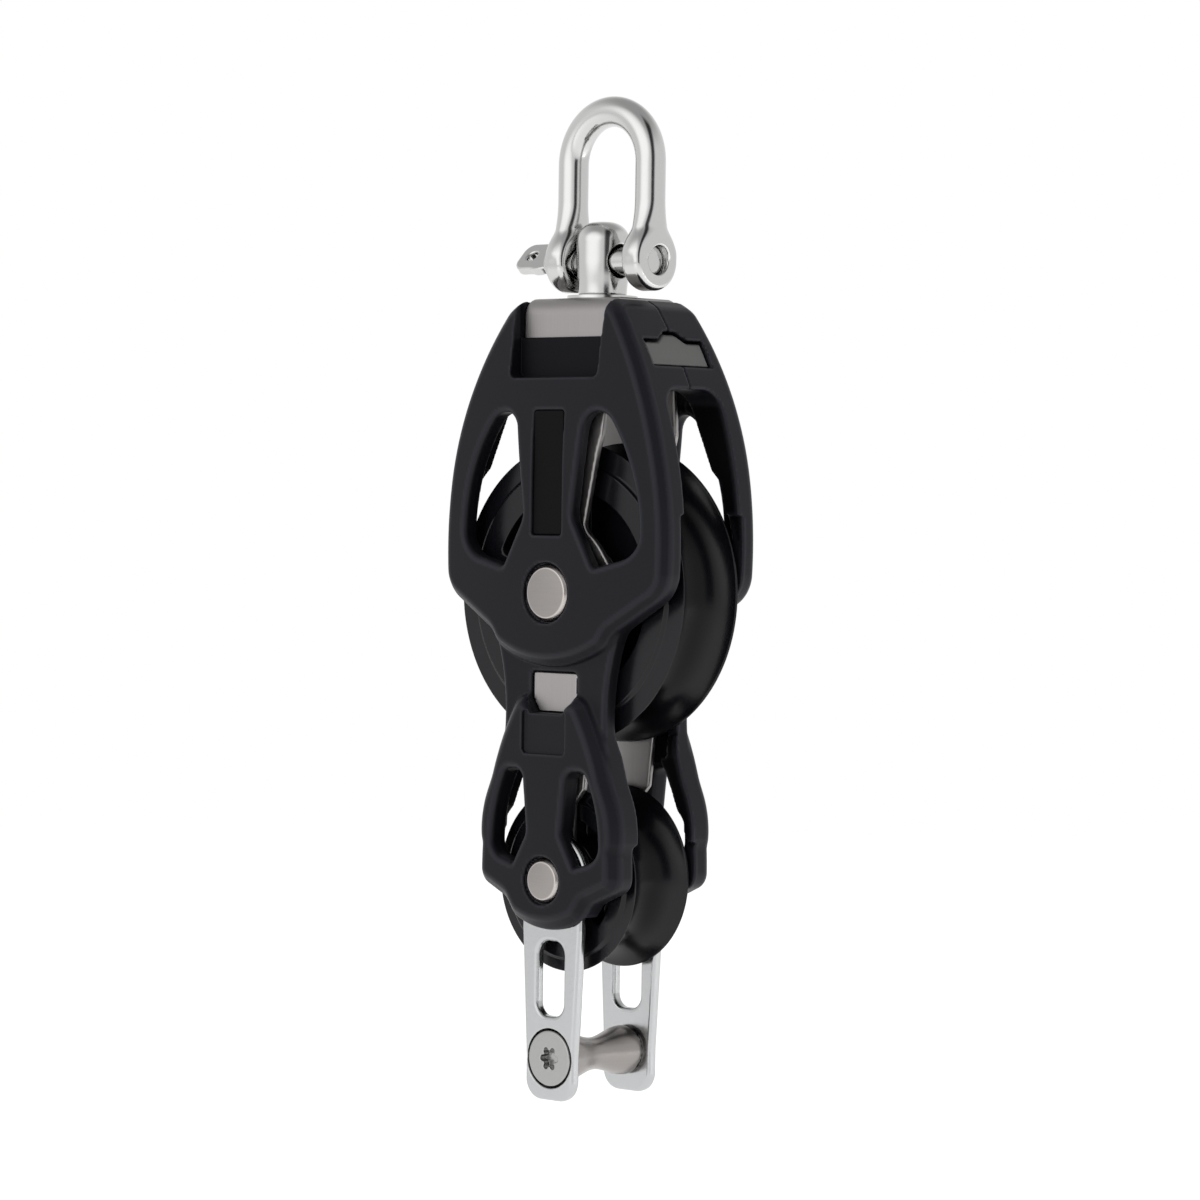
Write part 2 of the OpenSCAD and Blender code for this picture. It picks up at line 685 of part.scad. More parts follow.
// Countersunk head and shank of a becket screw, along Y, head outwards; g is a gap round it.
head_rim = 0.7;          // straight part of the head
head_slope = 1.7;        // how much narrower the head is at its inner face
module countersink(g) {
    inner = strap_out - (g > 0 ? cut : screw_reach);
    outer = strap_out + becket_t;
    end = outer + (g > 0 ? cut : 0);
    head_r = screw_head_d / 2 + g;
    rotate([-90, 0, 0]) rotate_extrude() polygon([
        [0, inner], [screw_d / 2 + g, inner], [screw_d / 2 + g, strap_out], [head_r - head_slope, strap_out],
        [head_r, outer - head_rim], [head_r, end], [0, end]]);
}

module becket_plate_near() {
    color(bright) in_block() mirror([0, 1, 0]) becket_plate();
}

module becket_plate_far() {
    color(bright) in_block() becket_plate();
}

// Waisted spool between the becket plates, tapped at both ends.
collar_step = 0.5;       // step down from the spool to its end collars
module becket_spool() {
    half = strap_out;
    curve = half - spool_collar;
    collar_r = spool_end_d / 2 - collar_step;
    color(steel) in_block() translate([0, 0, spool_z]) difference() {
        rotate([90, 0, 0]) rotate_extrude() polygon(concat(
            [[0, -half], [collar_r, -half], [collar_r, -curve]],
            [for (k = [0 : 14]) let(t = -1 + 2 * k / 14)
                [spool_waist_d / 2 + (spool_end_d - spool_waist_d) / 2 * (1 - cos(180 * t)) / 2, curve * t]],
            [[collar_r, curve], [collar_r, half], [0, half]]));
        for (side = [0, 1]) mirror([0, side, 0]) bar_y(screw_d, half - screw_reach, half + cut);
    }
}

// Six-lobed socket of a screw head.
lobe_r = 0.55;
lobe_ring = 1.75;        // radius at which the lobes stand
socket_depth = 1.6;
module becket_screw() {
    outer = strap_out + becket_t;
    translate([0, 0, spool_z]) difference() {
        countersink(0);
        bar_y(2 * lobe_ring, outer - socket_depth, outer + cut);
        for (k = [0 : 5]) rotate([0, 60 * k, 0])
            translate([lobe_ring, 0, 0]) bar_y(2 * lobe_r, outer - socket_depth, outer + cut);
    }
}

module becket_screw_near() {
    color(steel) in_block() mirror([0, 1, 0]) becket_screw();
}

module becket_screw_far() {
    color(steel) in_block() becket_screw();
}

// Shackle bow: a half ring, two legs, and flattened ears bored for the pin.
leg_x = (bow_gap + bar_d) / 2;
bow_top = -bow_gap / 2;              // centre height of the half ring
ear_z = -bow_h;
blend_inset = 0.8;       // how far the blend from leg to ear lies inside the ear's edge

// Disc along X with rounded edges.
module ear(x, r) {
    translate([x - ear_t / 2, 0, ear_z]) rotate([0, 90, 0]) rotate_extrude() polygon(concat(
        [[0, 0]], arc([r - ear_round, ear_round], ear_round, -90, 0, 4),
        arc([r - ear_round, ear_t - ear_round], ear_round, 0, 90, 4), [[0, ear_t]]));
}

module shackle_bow() {
    color(bright) difference() {
        union() {
            translate([0, 0, bow_top]) rotate([90, 0, 0])
                rotate_extrude(angle = 180, $fn = 96) translate([leg_x, 0]) circle(d = bar_d);
            for (side = [-1, 1]) {
                translate([side * leg_x, 0, ear_z + ear_d]) cylinder(d = bar_d, h = bow_top - ear_z - ear_d);
                ear(side * leg_x, ear_d / 2);
                hull() {
                    translate([side * leg_x, 0, ear_z + ear_d]) cylinder(d = bar_d, h = 0.1, $fn = 32);
                    translate([side * leg_x - ear_t / 2 + ear_round, 0, ear_z + blend_inset])
                        rotate([0, 90, 0])
                            cylinder(d = ear_d - 2 * blend_inset, h = ear_t - 2 * ear_round, $fn = 32);
                }
            }
        }
        translate([-2 * leg_x, 0, ear_z]) rotate([0, 90, 0])
            cylinder(d = pin_d + 2 * pin_play, h = 4 * leg_x);
    }
}

// Shackle pin: shank, collar against the left ear, short neck, and a flat tab with a hole.
tab_rise = 1.6;          // how far the tab stands off the pin axis, in its own plane
tab_root = 2;            // length over which the tab widens from the neck
tab_corner = 2;          // cut at the outer corners of the tab
neck_l = 1.2;        // length of the neck between the collar and the tab
module shackle_pin() {
    collar_x = -leg_x - ear_t / 2 - pin_play;
    end_x = leg_x + ear_t / 2 - pin_recess;
    tab_x = collar_x - pin_collar_t - neck_l;
    end_tab = tab_x - tab_l;
    high = tab_w / 2 + tab_rise;
    low = -tab_w / 2 + tab_rise;
    color(bright) translate([0, 0, ear_z]) rotate([-tab_tilt, 0, 0]) difference() {
        union() {
            translate([collar_x, 0, 0]) rotate([0, 90, 0]) cylinder(d = pin_d, h = end_x - collar_x);
            translate([collar_x - pin_collar_t, 0, 0]) rotate([0, 90, 0])
                cylinder(d = pin_collar_d, h = pin_collar_t);
            translate([tab_x, 0, 0]) rotate([0, 90, 0]) cylinder(d = pin_d, h = neck_l);
            slab([[tab_x + neck_l / 2, tab_rise - pin_d / 2], [tab_x + neck_l / 2, pin_d / 2],
                [tab_x - tab_root, high], [end_tab + tab_corner, high], [end_tab, high - tab_corner],
                [end_tab, low + tab_corner], [end_tab + tab_corner, low], [tab_x - tab_root, low]],
                -tab_t / 2, tab_t / 2);
        }
        translate([tab_x - tab_l / 2 - tab_rise / 2, 0, tab_rise]) bar_y(tab_hole_d, -tab_t, tab_t);
    }
}

shackle_bow();
shackle_pin();
swivel_eye();
top_washer();
thrust_washer();
swivel_nut();
index_collar();
load_strap();
cheek_near();
cheek_far();
lock_slide();
label_near();
label_far();
upper_axle();
upper_sleeve();
upper_sheave();
lower_axle();
lower_sleeve();
lower_sheave();
becket_plate_near();
becket_plate_far();
becket_spool();
becket_screw_near();
becket_screw_far();
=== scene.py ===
"""Looks of a fiddle block: moulded cheeks over a steel strap, two rope sheaves, shackle and becket.

Every piece is a skin drawn over a field: a function of x, y and z, in millimetres, that is
negative inside the piece. Fields are joined and cut with rounded edges, as a moulding or a
forging has them. The block's fields are measured from the upper axle, with y outwards from
the middle of the block, and the shackle's from the inside of its crown.
"""

import math

import bpy
import numpy as np
from bpy.props import FloatProperty, FloatVectorProperty, IntProperty, PointerProperty
from mathutils import Matrix, Vector


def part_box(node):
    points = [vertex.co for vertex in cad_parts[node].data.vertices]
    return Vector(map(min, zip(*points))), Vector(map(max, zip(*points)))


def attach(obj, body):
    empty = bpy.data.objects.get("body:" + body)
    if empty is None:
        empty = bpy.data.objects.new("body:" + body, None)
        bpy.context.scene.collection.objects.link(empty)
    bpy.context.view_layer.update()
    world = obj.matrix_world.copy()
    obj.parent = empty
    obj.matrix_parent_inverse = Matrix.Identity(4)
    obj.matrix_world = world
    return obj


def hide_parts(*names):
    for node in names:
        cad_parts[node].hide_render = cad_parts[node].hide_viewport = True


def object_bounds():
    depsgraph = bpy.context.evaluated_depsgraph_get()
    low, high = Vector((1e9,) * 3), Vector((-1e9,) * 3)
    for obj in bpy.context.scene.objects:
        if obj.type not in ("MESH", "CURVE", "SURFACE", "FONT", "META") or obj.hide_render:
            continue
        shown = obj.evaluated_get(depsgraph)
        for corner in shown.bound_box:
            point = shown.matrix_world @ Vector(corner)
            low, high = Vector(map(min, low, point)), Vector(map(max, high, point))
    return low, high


bl_info = {
    "name": "Fiddle block looks",
    "version": (1, 0, 0),
    "blender": (4, 5, 0),
    "location": "3D View > Sidebar > Fiddle block",
    "description": "Builds the visible pieces of a fiddle block round its fixed frame",
    "category": "Object",
}

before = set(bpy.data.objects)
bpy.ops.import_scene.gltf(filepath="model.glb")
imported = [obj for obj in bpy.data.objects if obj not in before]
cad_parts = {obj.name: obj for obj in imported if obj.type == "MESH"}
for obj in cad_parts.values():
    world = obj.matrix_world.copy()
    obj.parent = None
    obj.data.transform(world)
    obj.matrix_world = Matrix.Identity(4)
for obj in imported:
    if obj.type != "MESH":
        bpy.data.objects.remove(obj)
CAD_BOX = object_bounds()
MM = 0.001
FLOOR_R = 1.5                                      # radius of the floor, in metres


def centre(node):
    """Middle of a node's box, in millimetres."""
    low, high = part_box(node)
    return (np.array(low) + np.array(high)) / 2 / MM


def extent(node):
    """Size of a node's box, in millimetres."""
    low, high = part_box(node)
    return (np.array(high) - np.array(low)) / MM


BLOCK = centre("upper_axle")                       # where the block's fields are measured from
LOW = float(centre("lower_axle")[2] - BLOCK[2])    # height of the lower axle
SPOOL = float(centre("becket_spool")[2] - BLOCK[2])
TOP = float(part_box("load_strap")[1][2] / MM - BLOCK[2])
FACE = float(extent("upper_axle")[1] / 2)          # outer face of the cheeks
STRAP_OUT = float(extent("load_strap")[1] / 2)
PLATE_OUT = float(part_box("becket_plate_far")[1][1] / MM)
LOCK_Z = float(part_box("lock_slide")[0][2] / MM - BLOCK[2])
EAR_R = float(extent("shackle_bow")[1] / 2)
PIN_Z = float(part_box("shackle_bow")[0][2] / MM) + EAR_R        # pin axis, below the crown
PIN_UP = float(PIN_Z - BLOCK[2])                   # pin axis, above the upper axle
PIN_R = 2.8
BAR = float(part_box("shackle_bow")[1][2] / MM)      # bar of the bow; the origin is under its crown
LEG_X = float(extent("shackle_bow")[0] - BAR) / 2
CROWN_Z = BAR / 2 - LEG_X                          # middle of the bow's half ring


# Fields ------------------------------------------------------------------------------------

def both(a, b, r=0.3, turn=0.0):
    """Where both fields are solid, with their common edge rounded to radius r. turn is the cosine
    of the angle by which the surface turns there, 0 for a square edge."""
    far, near = np.maximum(a, b) + r, np.minimum(a, b) + r
    square = far * far + near * near - 2 * turn * far * near
    edge = np.sqrt(np.maximum(square, 0) / (1 - turn * turn))
    return np.where(near > turn * far, np.where(far > 0, edge, far), far) - r


def either(a, b, r=0.0, turn=0.0):
    """Where either field is solid, with a fillet of radius r between them."""
    return np.minimum(a, b) if r <= 0 else -both(-a, -b, r, turn)


def bevelled(a, b, width, r):
    """Where both fields are solid, with a bevel along their common edge, its corners rounded."""
    slant = math.sqrt(0.5)
    return both(both(a, (a + b + width) * slant, r, slant), b, r, slant)


def without(a, b, r=0.3):
    """The first field with the second cut out of it, the rim of the cut rounded to radius r."""
    return both(a, -b, r)


def disc(u, v, r):
    return np.hypot(u, v) - r


def rectangle(u, v, half_u, half_v, r=0.5):
    """A rectangle about the origin with corners of radius r."""
    du, dv = np.abs(u) - half_u + r, np.abs(v) - half_v + r
    return np.hypot(np.maximum(du, 0), np.maximum(dv, 0)) + np.minimum(np.maximum(du, dv), 0) - r


def slope(u, v, at, degrees):
    """The side above a straight line through a point, rising to the right at an angle."""
    a = math.radians(degrees)
    return (u - at[0]) * math.sin(a) - (v - at[1]) * math.cos(a)


def smooth_step(t):
    t = np.clip(t, 0, 1)
    return t * t * (3 - 2 * t)


# Skins -------------------------------------------------------------------------------------

def along(axis, part, of):
    """Slices that take part of one axis and, of the other two, the parts in of."""
    out = [of[0], of[1]]
    out.insert(axis, part)
    return tuple(out)


def skin(field, low, high, step, sides=0):
    """Points and faces of the surface where a field is zero: one point in each cell that the
    surface crosses, one face for each grid line that it cuts, then the points drawn onto it.
    With sides, the grid runs round the y axis in that many cells."""
    low, high = np.array(low, float), np.array(high, float)
    steps = np.full(3, float(step))
    if sides:
        low, high = np.array([0, -step / 2, low[1]]), np.array([0, high[0], high[1]])
        steps[0] = 2 * math.pi / sides
        high[0] = steps[0] * (sides - 0.5)
    counts = [int((high[a] - low[a]) / steps[a]) + 2 for a in range(3)]
    counts[0] += bool(sides)
    ticks = [low[a] + steps[a] * np.arange(counts[a]) for a in range(3)]
    grid = ticks[0][:, None, None], ticks[1][None, :, None], ticks[2][None, None, :]
    if sides:
        grid = bent(*grid)
    values = np.array(np.broadcast_to(field(*grid), counts))
    inside = values < 0
    cells = [count - 1 for count in counts]
    hits, place = np.zeros(cells), np.zeros([3] + cells)
    crossings = []
    for a in range(3):
        near = along(a, slice(None, -1), (slice(None),) * 2)
        far = along(a, slice(1, None), (slice(None),) * 2)
        cross = inside[near] != inside[far]
        crossings.append(cross)
        part = np.where(cross, values[near] / np.where(cross, values[near] - values[far], 1), 0)
        others = [b for b in range(3) if b != a]
        for i in (0, 1):
            for j in (0, 1):
                of = (slice(i, cells[others[0]] + i), slice(j, cells[others[1]] + j))
                here = cross[along(a, slice(None), of)]
                hits += here
                place[a] += part[along(a, slice(None), of)]
                place[others[0]] += here * i
                place[others[1]] += here * j
    used = hits > 0
    if sides:
        used[-1] = False
    index = np.full(cells, -1)
    index[used] = np.arange(used.sum())
    points = low + steps * (np.argwhere(used) + (place[:, used] / hits[used]).T)
    if sides:
        index[-1] = index[0]
        crossings[0][-1] = False
        points = np.stack(bent(*points.T), 1)
    faces = []
    for a in range(3):
        b, c = (a + 1) % 3, (a + 2) % 3
        at = np.argwhere(crossings[a])
        at = at[(at[:, b] > 0) & (at[:, b] < cells[b]) & (at[:, c] > 0) & (at[:, c] < cells[c])]
        back = np.zeros((4, 3), int)
        back[[0, 3], b] = back[[0, 1], c] = 1
        ring = np.stack([index[tuple((at - k).T)] for k in back], 1)
        outward = inside[tuple(at.T)]
        faces.append(np.where(outward[:, None], ring, ring[:, ::-1]))
    return (*drawn_onto(field, points, step), np.concatenate(faces))


def bent(turn, across, y):
    """From an angle, a radius and a height along y to x, y and z."""
    return across * np.cos(turn), y, across * np.sin(turn)


def drawn_onto(field, points, step, rounds=4, nudge=0.01):
    """Moves points along a field's slope to where the field is zero; the points, and the
    directions in which the surface faces there."""
    for _ in range(rounds):
        value = field(*points.T)
        slopes = np.stack([(field(*(points + d).T) - field(*(points - d).T)) / (2 * nudge)
                           for d in np.eye(3) * nudge], 1)
        move = slopes * (-value / np.maximum((slopes ** 2).sum(1), 0.2))[:, None]
        far = np.linalg.norm(move, axis=1, keepdims=True)
        points = points + move * np.minimum(1, 0.5 * step / np.maximum(far, 1e-9))
    return points, slopes / np.maximum(np.linalg.norm(slopes, axis=1, keepdims=True), 1e-9)


def sharpness(field, points, reach=0.35):
    """How sharply the surface turns at its points, per millimetre; outer edges are above 0."""
    total = sum(field(*(points + d).T) + field(*(points - d).T) for d in np.eye(3) * reach)
    return total / reach ** 2


def make_piece(node, shape, made, body, origin, tone=None, mirrored=False):
    """A mesh object from a skin, smooth shaded, that stands for a node and rides on its body.
    tone says how much lighter or darker than its colour each point is."""
    name = node + "_form"
    if name in bpy.data.objects:
        raise RuntimeError(f"{name} is already built")
    points, normals, faces = shape
    if mirrored:
        flip = np.array([1, -1, 1])
        points, normals, faces = points * flip, normals * flip, faces[:, ::-1]
    mesh = bpy.data.meshes.new(name)
    mesh.vertices.add(len(points))
    mesh.vertices.foreach_set("co", ((points + origin) * MM).astype(np.float32).ravel())
    mesh.loops.add(faces.size)
    mesh.loops.foreach_set("vertex_index", faces.astype(np.int32).ravel())
    mesh.polygons.add(len(faces))
    mesh.polygons.foreach_set("loop_start", np.arange(0, faces.size, 4, dtype=np.int32))
    mesh.update(calc_edges=True)
    mesh.validate()
    mesh.shade_smooth()
    mesh.normals_split_custom_set_from_vertices(normals.astype(np.float32))
    if tone is not None:
        shades = mesh.attributes.new("tone", "FLOAT", "POINT")
        shades.data.foreach_set("value", tone.astype(np.float32))
    mesh.materials.append(made)
    piece = bpy.data.objects.new(name, mesh)
    bpy.context.scene.collection.objects.link(piece)
    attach(piece, body)
    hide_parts(node)


# Sizes, in millimetres and degrees -------------------------------------------------------------

RIM_IN = 7.9                                       # inner edge of the cheek rims
RIM_PAST = 9.0                                     # the same where they pass beside a sheave
SHEET = 1.4                                        # thickness of the load strap
STRAP_IN = STRAP_OUT - SHEET
ROOF = TOP - 18                                    # underside of the head, over the rope
SHEAVE_R = float(extent("upper_sheave")[0] / 2)
SMALL_R = float(extent("lower_sheave")[0] / 2)
AXLE_R = float(extent("upper_axle")[0] / 2)
SMALL_AXLE_R = float(extent("lower_axle")[0] / 2)
LABEL_HALF = extent("label_far") / 2
LABEL_MID = centre("label_far") - BLOCK
OPENING_Z = -19.45                                 # height of the opening in the neck
BECKET_EYE_R = 9.3                                 # round head of a becket plate
SINK = [4.1, 5.85]                                 # radius of its countersink, inside and outside
SCREW_HEAD = [3.8, 5.5]                            # radius of a screw's head, the same
STRAP_EYE_R = 14                                   # round ends of the strap over the axles
STRAP_FOOT_R = 7.4
LEG_LEAN = 1.35                                    # how far the legs of the strap stand out
LEG_HALF = 13.5                                    # half width of the room for them in the cheeks
SHEAVE_SIDE = 8.5                                  # half thickness of the sheaves
GROOVE_LIP = 7.6                                   # half width of the mouth of their grooves
LOCK_HALF = 8.2                                    # half width of the lock slide
LOCK_TALL = 4.5                                    # height of the lock slide beside its hump

# Straight walls of the room inside the cheeks: a point on the wall, and its angle.
ROPE_WALL = (17.5, 35), 114
RIM_WALL = (24.5, 22.4), 102
SMALL_RIM_WALL = (12.5, 18.1), 115.3

# Half outlines of the cheeks, each measured from its own axle, as cheek_plan takes them.
UPPER_PLAN = dict(side=(30, 9, 80), corner_r=6, foot=((22.2, -4.0), 31), steep=((15.3, -9.0), 56),
                  tip=(13.7, 28), cut_z=-12)
LOWER_PLAN = dict(side=(18.7, 1.7, 64), corner_r=4, foot=((14.6, -2.7), 24),
                  steep=((10.3, -5.7), 56), tip=(9.3, 19), cut_z=-7)

# Windows of the cheeks, each measured from its own axle, as window takes them.
UPPER_WINDOW = dict(top=35.4, outer=(23.3, 11.5, 36.5), foot=((13.4, 5.4), 14),
                    inner=((6.7, 15), -98), boss=((6.7, 15), -60.5), corner=3.4, draught=0.21)
LOWER_WINDOW = dict(top=21.6, outer=(14.2, 7, 30), foot=((9.4, 3.4), 16),
                    inner=((4.75, 9.3), -96.2), boss=((4.75, 9.3), -60), corner=2.1, draught=0.1)


# Shapes of the cheeks --------------------------------------------------------------------------

def cheek_plan(x, z, side, corner_r, foot, steep, tip, cut_z):
    """Half of a cheek's outline: a long side curve, a lower corner, and a lobe under the axle.
    side is the half width, height and radius of the curve; foot and steep are straight edges,
    a point on the edge and its angle; tip is the height and radius of the lobe. The curve and
    the corner stop at cut_z."""
    x = np.abs(x)
    body = both(disc(x - side[0] + side[2], z - side[1], side[2]), slope(x, z, *foot), corner_r, 0.5)
    lobe = both(disc(x, z - tip[0], tip[1]), slope(x, z, *steep), 5, 0.88)
    return either(both(body, cut_z - z, 0), lobe, 5, 0.9)


def upper_plan(x, z):
    return cheek_plan(x, z, **UPPER_PLAN)


def lower_plan(x, z):
    low = z - LOW
    return both(cheek_plan(x, low, **LOWER_PLAN), low - 36.2, 2.6, 0.3)


def neck_plan(x, z):
    """The plate between the cheeks, with its hollow sides."""
    return both(-disc(np.abs(x) - 58.5, z + 24, 45), np.abs(z + 22) - 18, 1)


def whole_plan(x, z):
    """Both outlines and the neck together."""
    return np.minimum(np.minimum(upper_plan(x, z), lower_plan(x, z)), neck_plan(x, z))


def window(x, y, z, top, outer, foot, inner, boss, corner, draught):
    """The windows beside the axle's column: outer curve, flat top, sloping foot, inner edge, and
    the edge that slopes along the axle's boss. outer is a half width, height and radius; the
    straight edges are a point and an angle. The two inner walls lean by the draught, so the column
    between the windows narrows towards the inside."""
    x, lean = np.abs(x), draught * np.maximum(FACE - y, 0)
    shape = both(disc(x - outer[0] + outer[2], z - outer[1], outer[2]), z - top, corner, 0.5)
    shape = both(shape, slope(x, z, *foot), corner * 1.7, 0.3)
    shape = both(shape, slope(x, z, *inner) - lean, corner, 0.1)
    return both(shape, slope(x, z, *boss) - lean, corner, 0.7)


def neck_opening(x, z):
    """The opening in the neck where the strap shows, its lower corners cut by the horns."""
    opening = rectangle(x, z - OPENING_Z, 6.1, 4.05, 1.1)
    return both(opening, slope(np.abs(x), z - OPENING_Z, (5.1, -2.65), 59), 0.8, 0.5)


def cheek_room(x, z, look):
    """The hollow inside a cheek, as seen from the side: between the rims of both lobes and the
    sides of the neck. It is narrower above the upper sheave, and round about the lower one."""
    low, across = z - LOW, np.abs(x)
    upper = both(upper_plan(x, z) + look.rim_width, z - ROOF, 1)
    upper = np.maximum(upper, np.minimum(disc(x, z, SHEAVE_R + 3), slope(across, z, *ROPE_WALL)))
    upper = np.maximum(upper, slope(across, z, *RIM_WALL))
    lower = np.minimum(disc(x, low, SMALL_R + 1.6), slope(across, low, *SMALL_RIM_WALL))
    lower = np.maximum(lower_plan(x, z) + look.rim_width, lower)
    neck = both(whole_plan(x, z) + look.rim_width, np.abs(low - 37) - 13, 1)
    return np.minimum(np.minimum(upper, lower), neck)


def cheek_shell(x, y, z, look):
    """Both lobed shells, the neck plate between them, the rims and the solid head."""
    front = y - FACE + x * x / (2 * look.crown_radius)
    lean = np.maximum(z - look.lean_start, 0) ** 2 / (2 * look.lean_radius)
    upper = bevelled(both(front + lean, z - TOP, 3.4), upper_plan(x, z), look.bevel, look.bevel_round)
    lower = bevelled(front, lower_plan(x, z), look.small_bevel, look.small_bevel_round)
    shell = either(either(upper, lower), both(y - PLATE_OUT, neck_plan(x, z), 0.9), 0.8)
    low = z - LOW
    further_in = smooth_step((low - look.small_rim_step) / 0.6) * smooth_step((30 - low) / 6)
    further_in = further_in + smooth_step((z - look.rim_step) / 0.6)
    rims = RIM_PAST - (RIM_PAST - RIM_IN) * further_in - y
    shell = both(shell, either(rims, ROOF - z, look.roof_round), 0.5)
    shell = both(shell, 0.03 - y, 0.3)
    deeper = strap_lean(z) * smooth_step((LEG_HALF - np.abs(x)) / 1.5)
    room = np.maximum(cheek_room(x, z, look), y - STRAP_OUT - deeper - 0.1)
    shell = without(shell, room, 0.3)
    flanges = np.minimum(disc(x, z, SHEAVE_R + 0.7), disc(x, low, SMALL_R + 0.7))
    return without(shell, np.maximum(flanges, y - RIM_PAST + 0.1), 0.2)


def cheek_cuts(x, y, z, look):
    """What is cut out of a cheek's face, the widest rounding first: pairs of a field and the
    rounding of its rim."""
    low = z - LOW
    windows = np.minimum(window(x, y, z, **UPPER_WINDOW), window(x, y, low, **LOWER_WINDOW))
    yield windows, look.window_round
    shown = both(np.abs(x) - look.strap_room, TOP - look.strap_shown - z, 0.6)
    yield np.maximum(shown, STRAP_OUT - 1 - y), 0.45
    horns = np.maximum(neck_opening(x, z), PLATE_OUT + 0.1 + look.horn_round - y)
    yield horns, look.horn_round
    yield neck_opening(x, z), 0.3
    panel = both(np.abs(x) - look.strap_room, TOP - look.panel_drop - z, 1.3)
    yield np.maximum(panel, STRAP_OUT + 0.7 - y), 0.3
    seat = rectangle(x, z - LABEL_MID[2], LABEL_HALF[0] + 0.12, LABEL_HALF[2] + 0.12, 0.6)
    yield np.maximum(seat, LABEL_MID[1] - LABEL_HALF[1] - y), 0.3
    panel = rectangle(x, z - OPENING_Z + 7.75, 5.7, 4.3, 0.9)
    yield np.maximum(panel, FACE - look.panel_depth - y), 0.15
    yield np.maximum(lock_window(y, z, 0.3), look.strap_room - 0.2 - x), 0.2
    for height, r in ((z, AXLE_R), (low, SMALL_AXLE_R)):
        yield disc(x, height, r + 0.12), 0.25
        yield np.maximum(disc(x, height, r + 0.5), FACE - 1.0 - y), 0.2
    room = np.maximum(np.abs(x) - look.strap_room, ROOF + 1.8 - z)
    slot = np.maximum(np.abs(x) - look.strap_room, STRAP_IN - 0.1 - y)
    yield np.maximum(np.minimum(room, np.maximum(slot, ROOF - 1 - z)), y - STRAP_OUT - 0.1), 0.2
    plate = np.maximum(np.abs(x) - BECKET_EYE_R - 0.1, low)
    yield np.maximum(np.minimum(disc(x, low, BECKET_EYE_R + 0.1), plate), y - PLATE_OUT - 0.1), 0.2


def cheek(x, y, z, look):
    """One cheek, with y outwards."""
    solid = cheek_shell(x, y, z, look)
    for cut, rim in cheek_cuts(x, y, z, look):
        solid = without(solid, cut, rim)
    return solid


def lock_window(y, z, gap):
    """The lock slide as seen from the side, with straight sides and a hump on top, grown by a
    gap: twice as much over it, and half as much under it."""
    hump = 1.6 * smooth_step((4.6 - np.abs(y)) / 3.4)
    upright = both(z - LOCK_Z - LOCK_TALL - 2 * gap - hump, LOCK_Z - gap / 2 - z, 0.2)
    return both(upright, np.abs(y) - LOCK_HALF - gap, 0.2)


def lock_slide(x, y, z):
    """The slide fills its window, flush with the side of the head, and has a tongue behind."""
    head = both(both(lock_window(y, z, 0), upper_plan(x, z) + 0.5, 0.5), 14.1 - x, 0.3)
    tongue = both(rectangle(y, z - LOCK_Z - 2.3, 2, 2.3, 0.3), np.abs(x - 11.3) - 3.4, 0.3)
    return either(head, tongue, 0.3)


def label(x, y, z):
    """A thin plate with rounded corners."""
    plate = rectangle(x, z - LABEL_MID[2], LABEL_HALF[0], LABEL_HALF[2], 0.6)
    return both(plate, np.abs(y - LABEL_MID[1]) - LABEL_HALF[1], 0.12)


# Shapes of the steel inside --------------------------------------------------------------------

def strap_lean(z):
    """How far the legs of the strap lie further out between the head and the upper axle: all
    of it from 8 to 28 above the axle, and none of it below 1 and above 44."""
    return LEG_LEAN * smooth_step((z - 1) / 7) * smooth_step((44 - z) / 16)


def strap(x, y, z, look):
    """A sheet bent over the head: two legs that widen to round ends over the axles, and are
    pressed out in the opening of the neck."""
    upright = np.abs(y) - strap_lean(z)
    inner = both(upright - STRAP_IN, z - TOP + SHEET, look.bend - SHEET)
    sheet = without(both(upright - STRAP_OUT, z - TOP, look.bend), inner, 0.3)
    half = np.interp(z, [LOW + 15, LOW + 18, -22, -1, 1, 13.8, 28, 31, 46],
                     [look.foot_neck, look.waist, look.middle, look.middle, look.neck, look.neck,
                      look.shoulder, look.head - 0.8, look.head])
    plan = both(np.abs(x) - half, LOW - z, 0)
    plan = either(plan, disc(x, z, STRAP_EYE_R), 3, 0.5)
    plan = either(plan, disc(x, z - LOW, STRAP_FOOT_R), 2, 0.5)
    holes = np.minimum(disc(x, z, AXLE_R + 0.02), disc(x, z - LOW, SMALL_AXLE_R + 0.02))
    holes = np.minimum(holes, np.maximum(disc(x, y, 4.3), TOP - 3 - z))
    pad = np.maximum(neck_opening(x, z) + 0.15, np.abs(np.abs(y) - STRAP_OUT) - look.pad)
    pad = both(pad, STRAP_IN - np.abs(y), 0.2)
    return np.minimum(without(both(sheet, plan, 0.4), holes, 0.2), pad)


def axle(x, y, z, r, look):
    """A pin with slightly domed ends and a chamfer round them; the axles step paints the chamfer
    brighter, a painted highlight.
    """
    across = np.hypot(x, z)
    end = np.abs(y) - FACE + look.dome * (across / r) ** 2
    return bevelled(end, across - r, look.chamfer, 0.15)


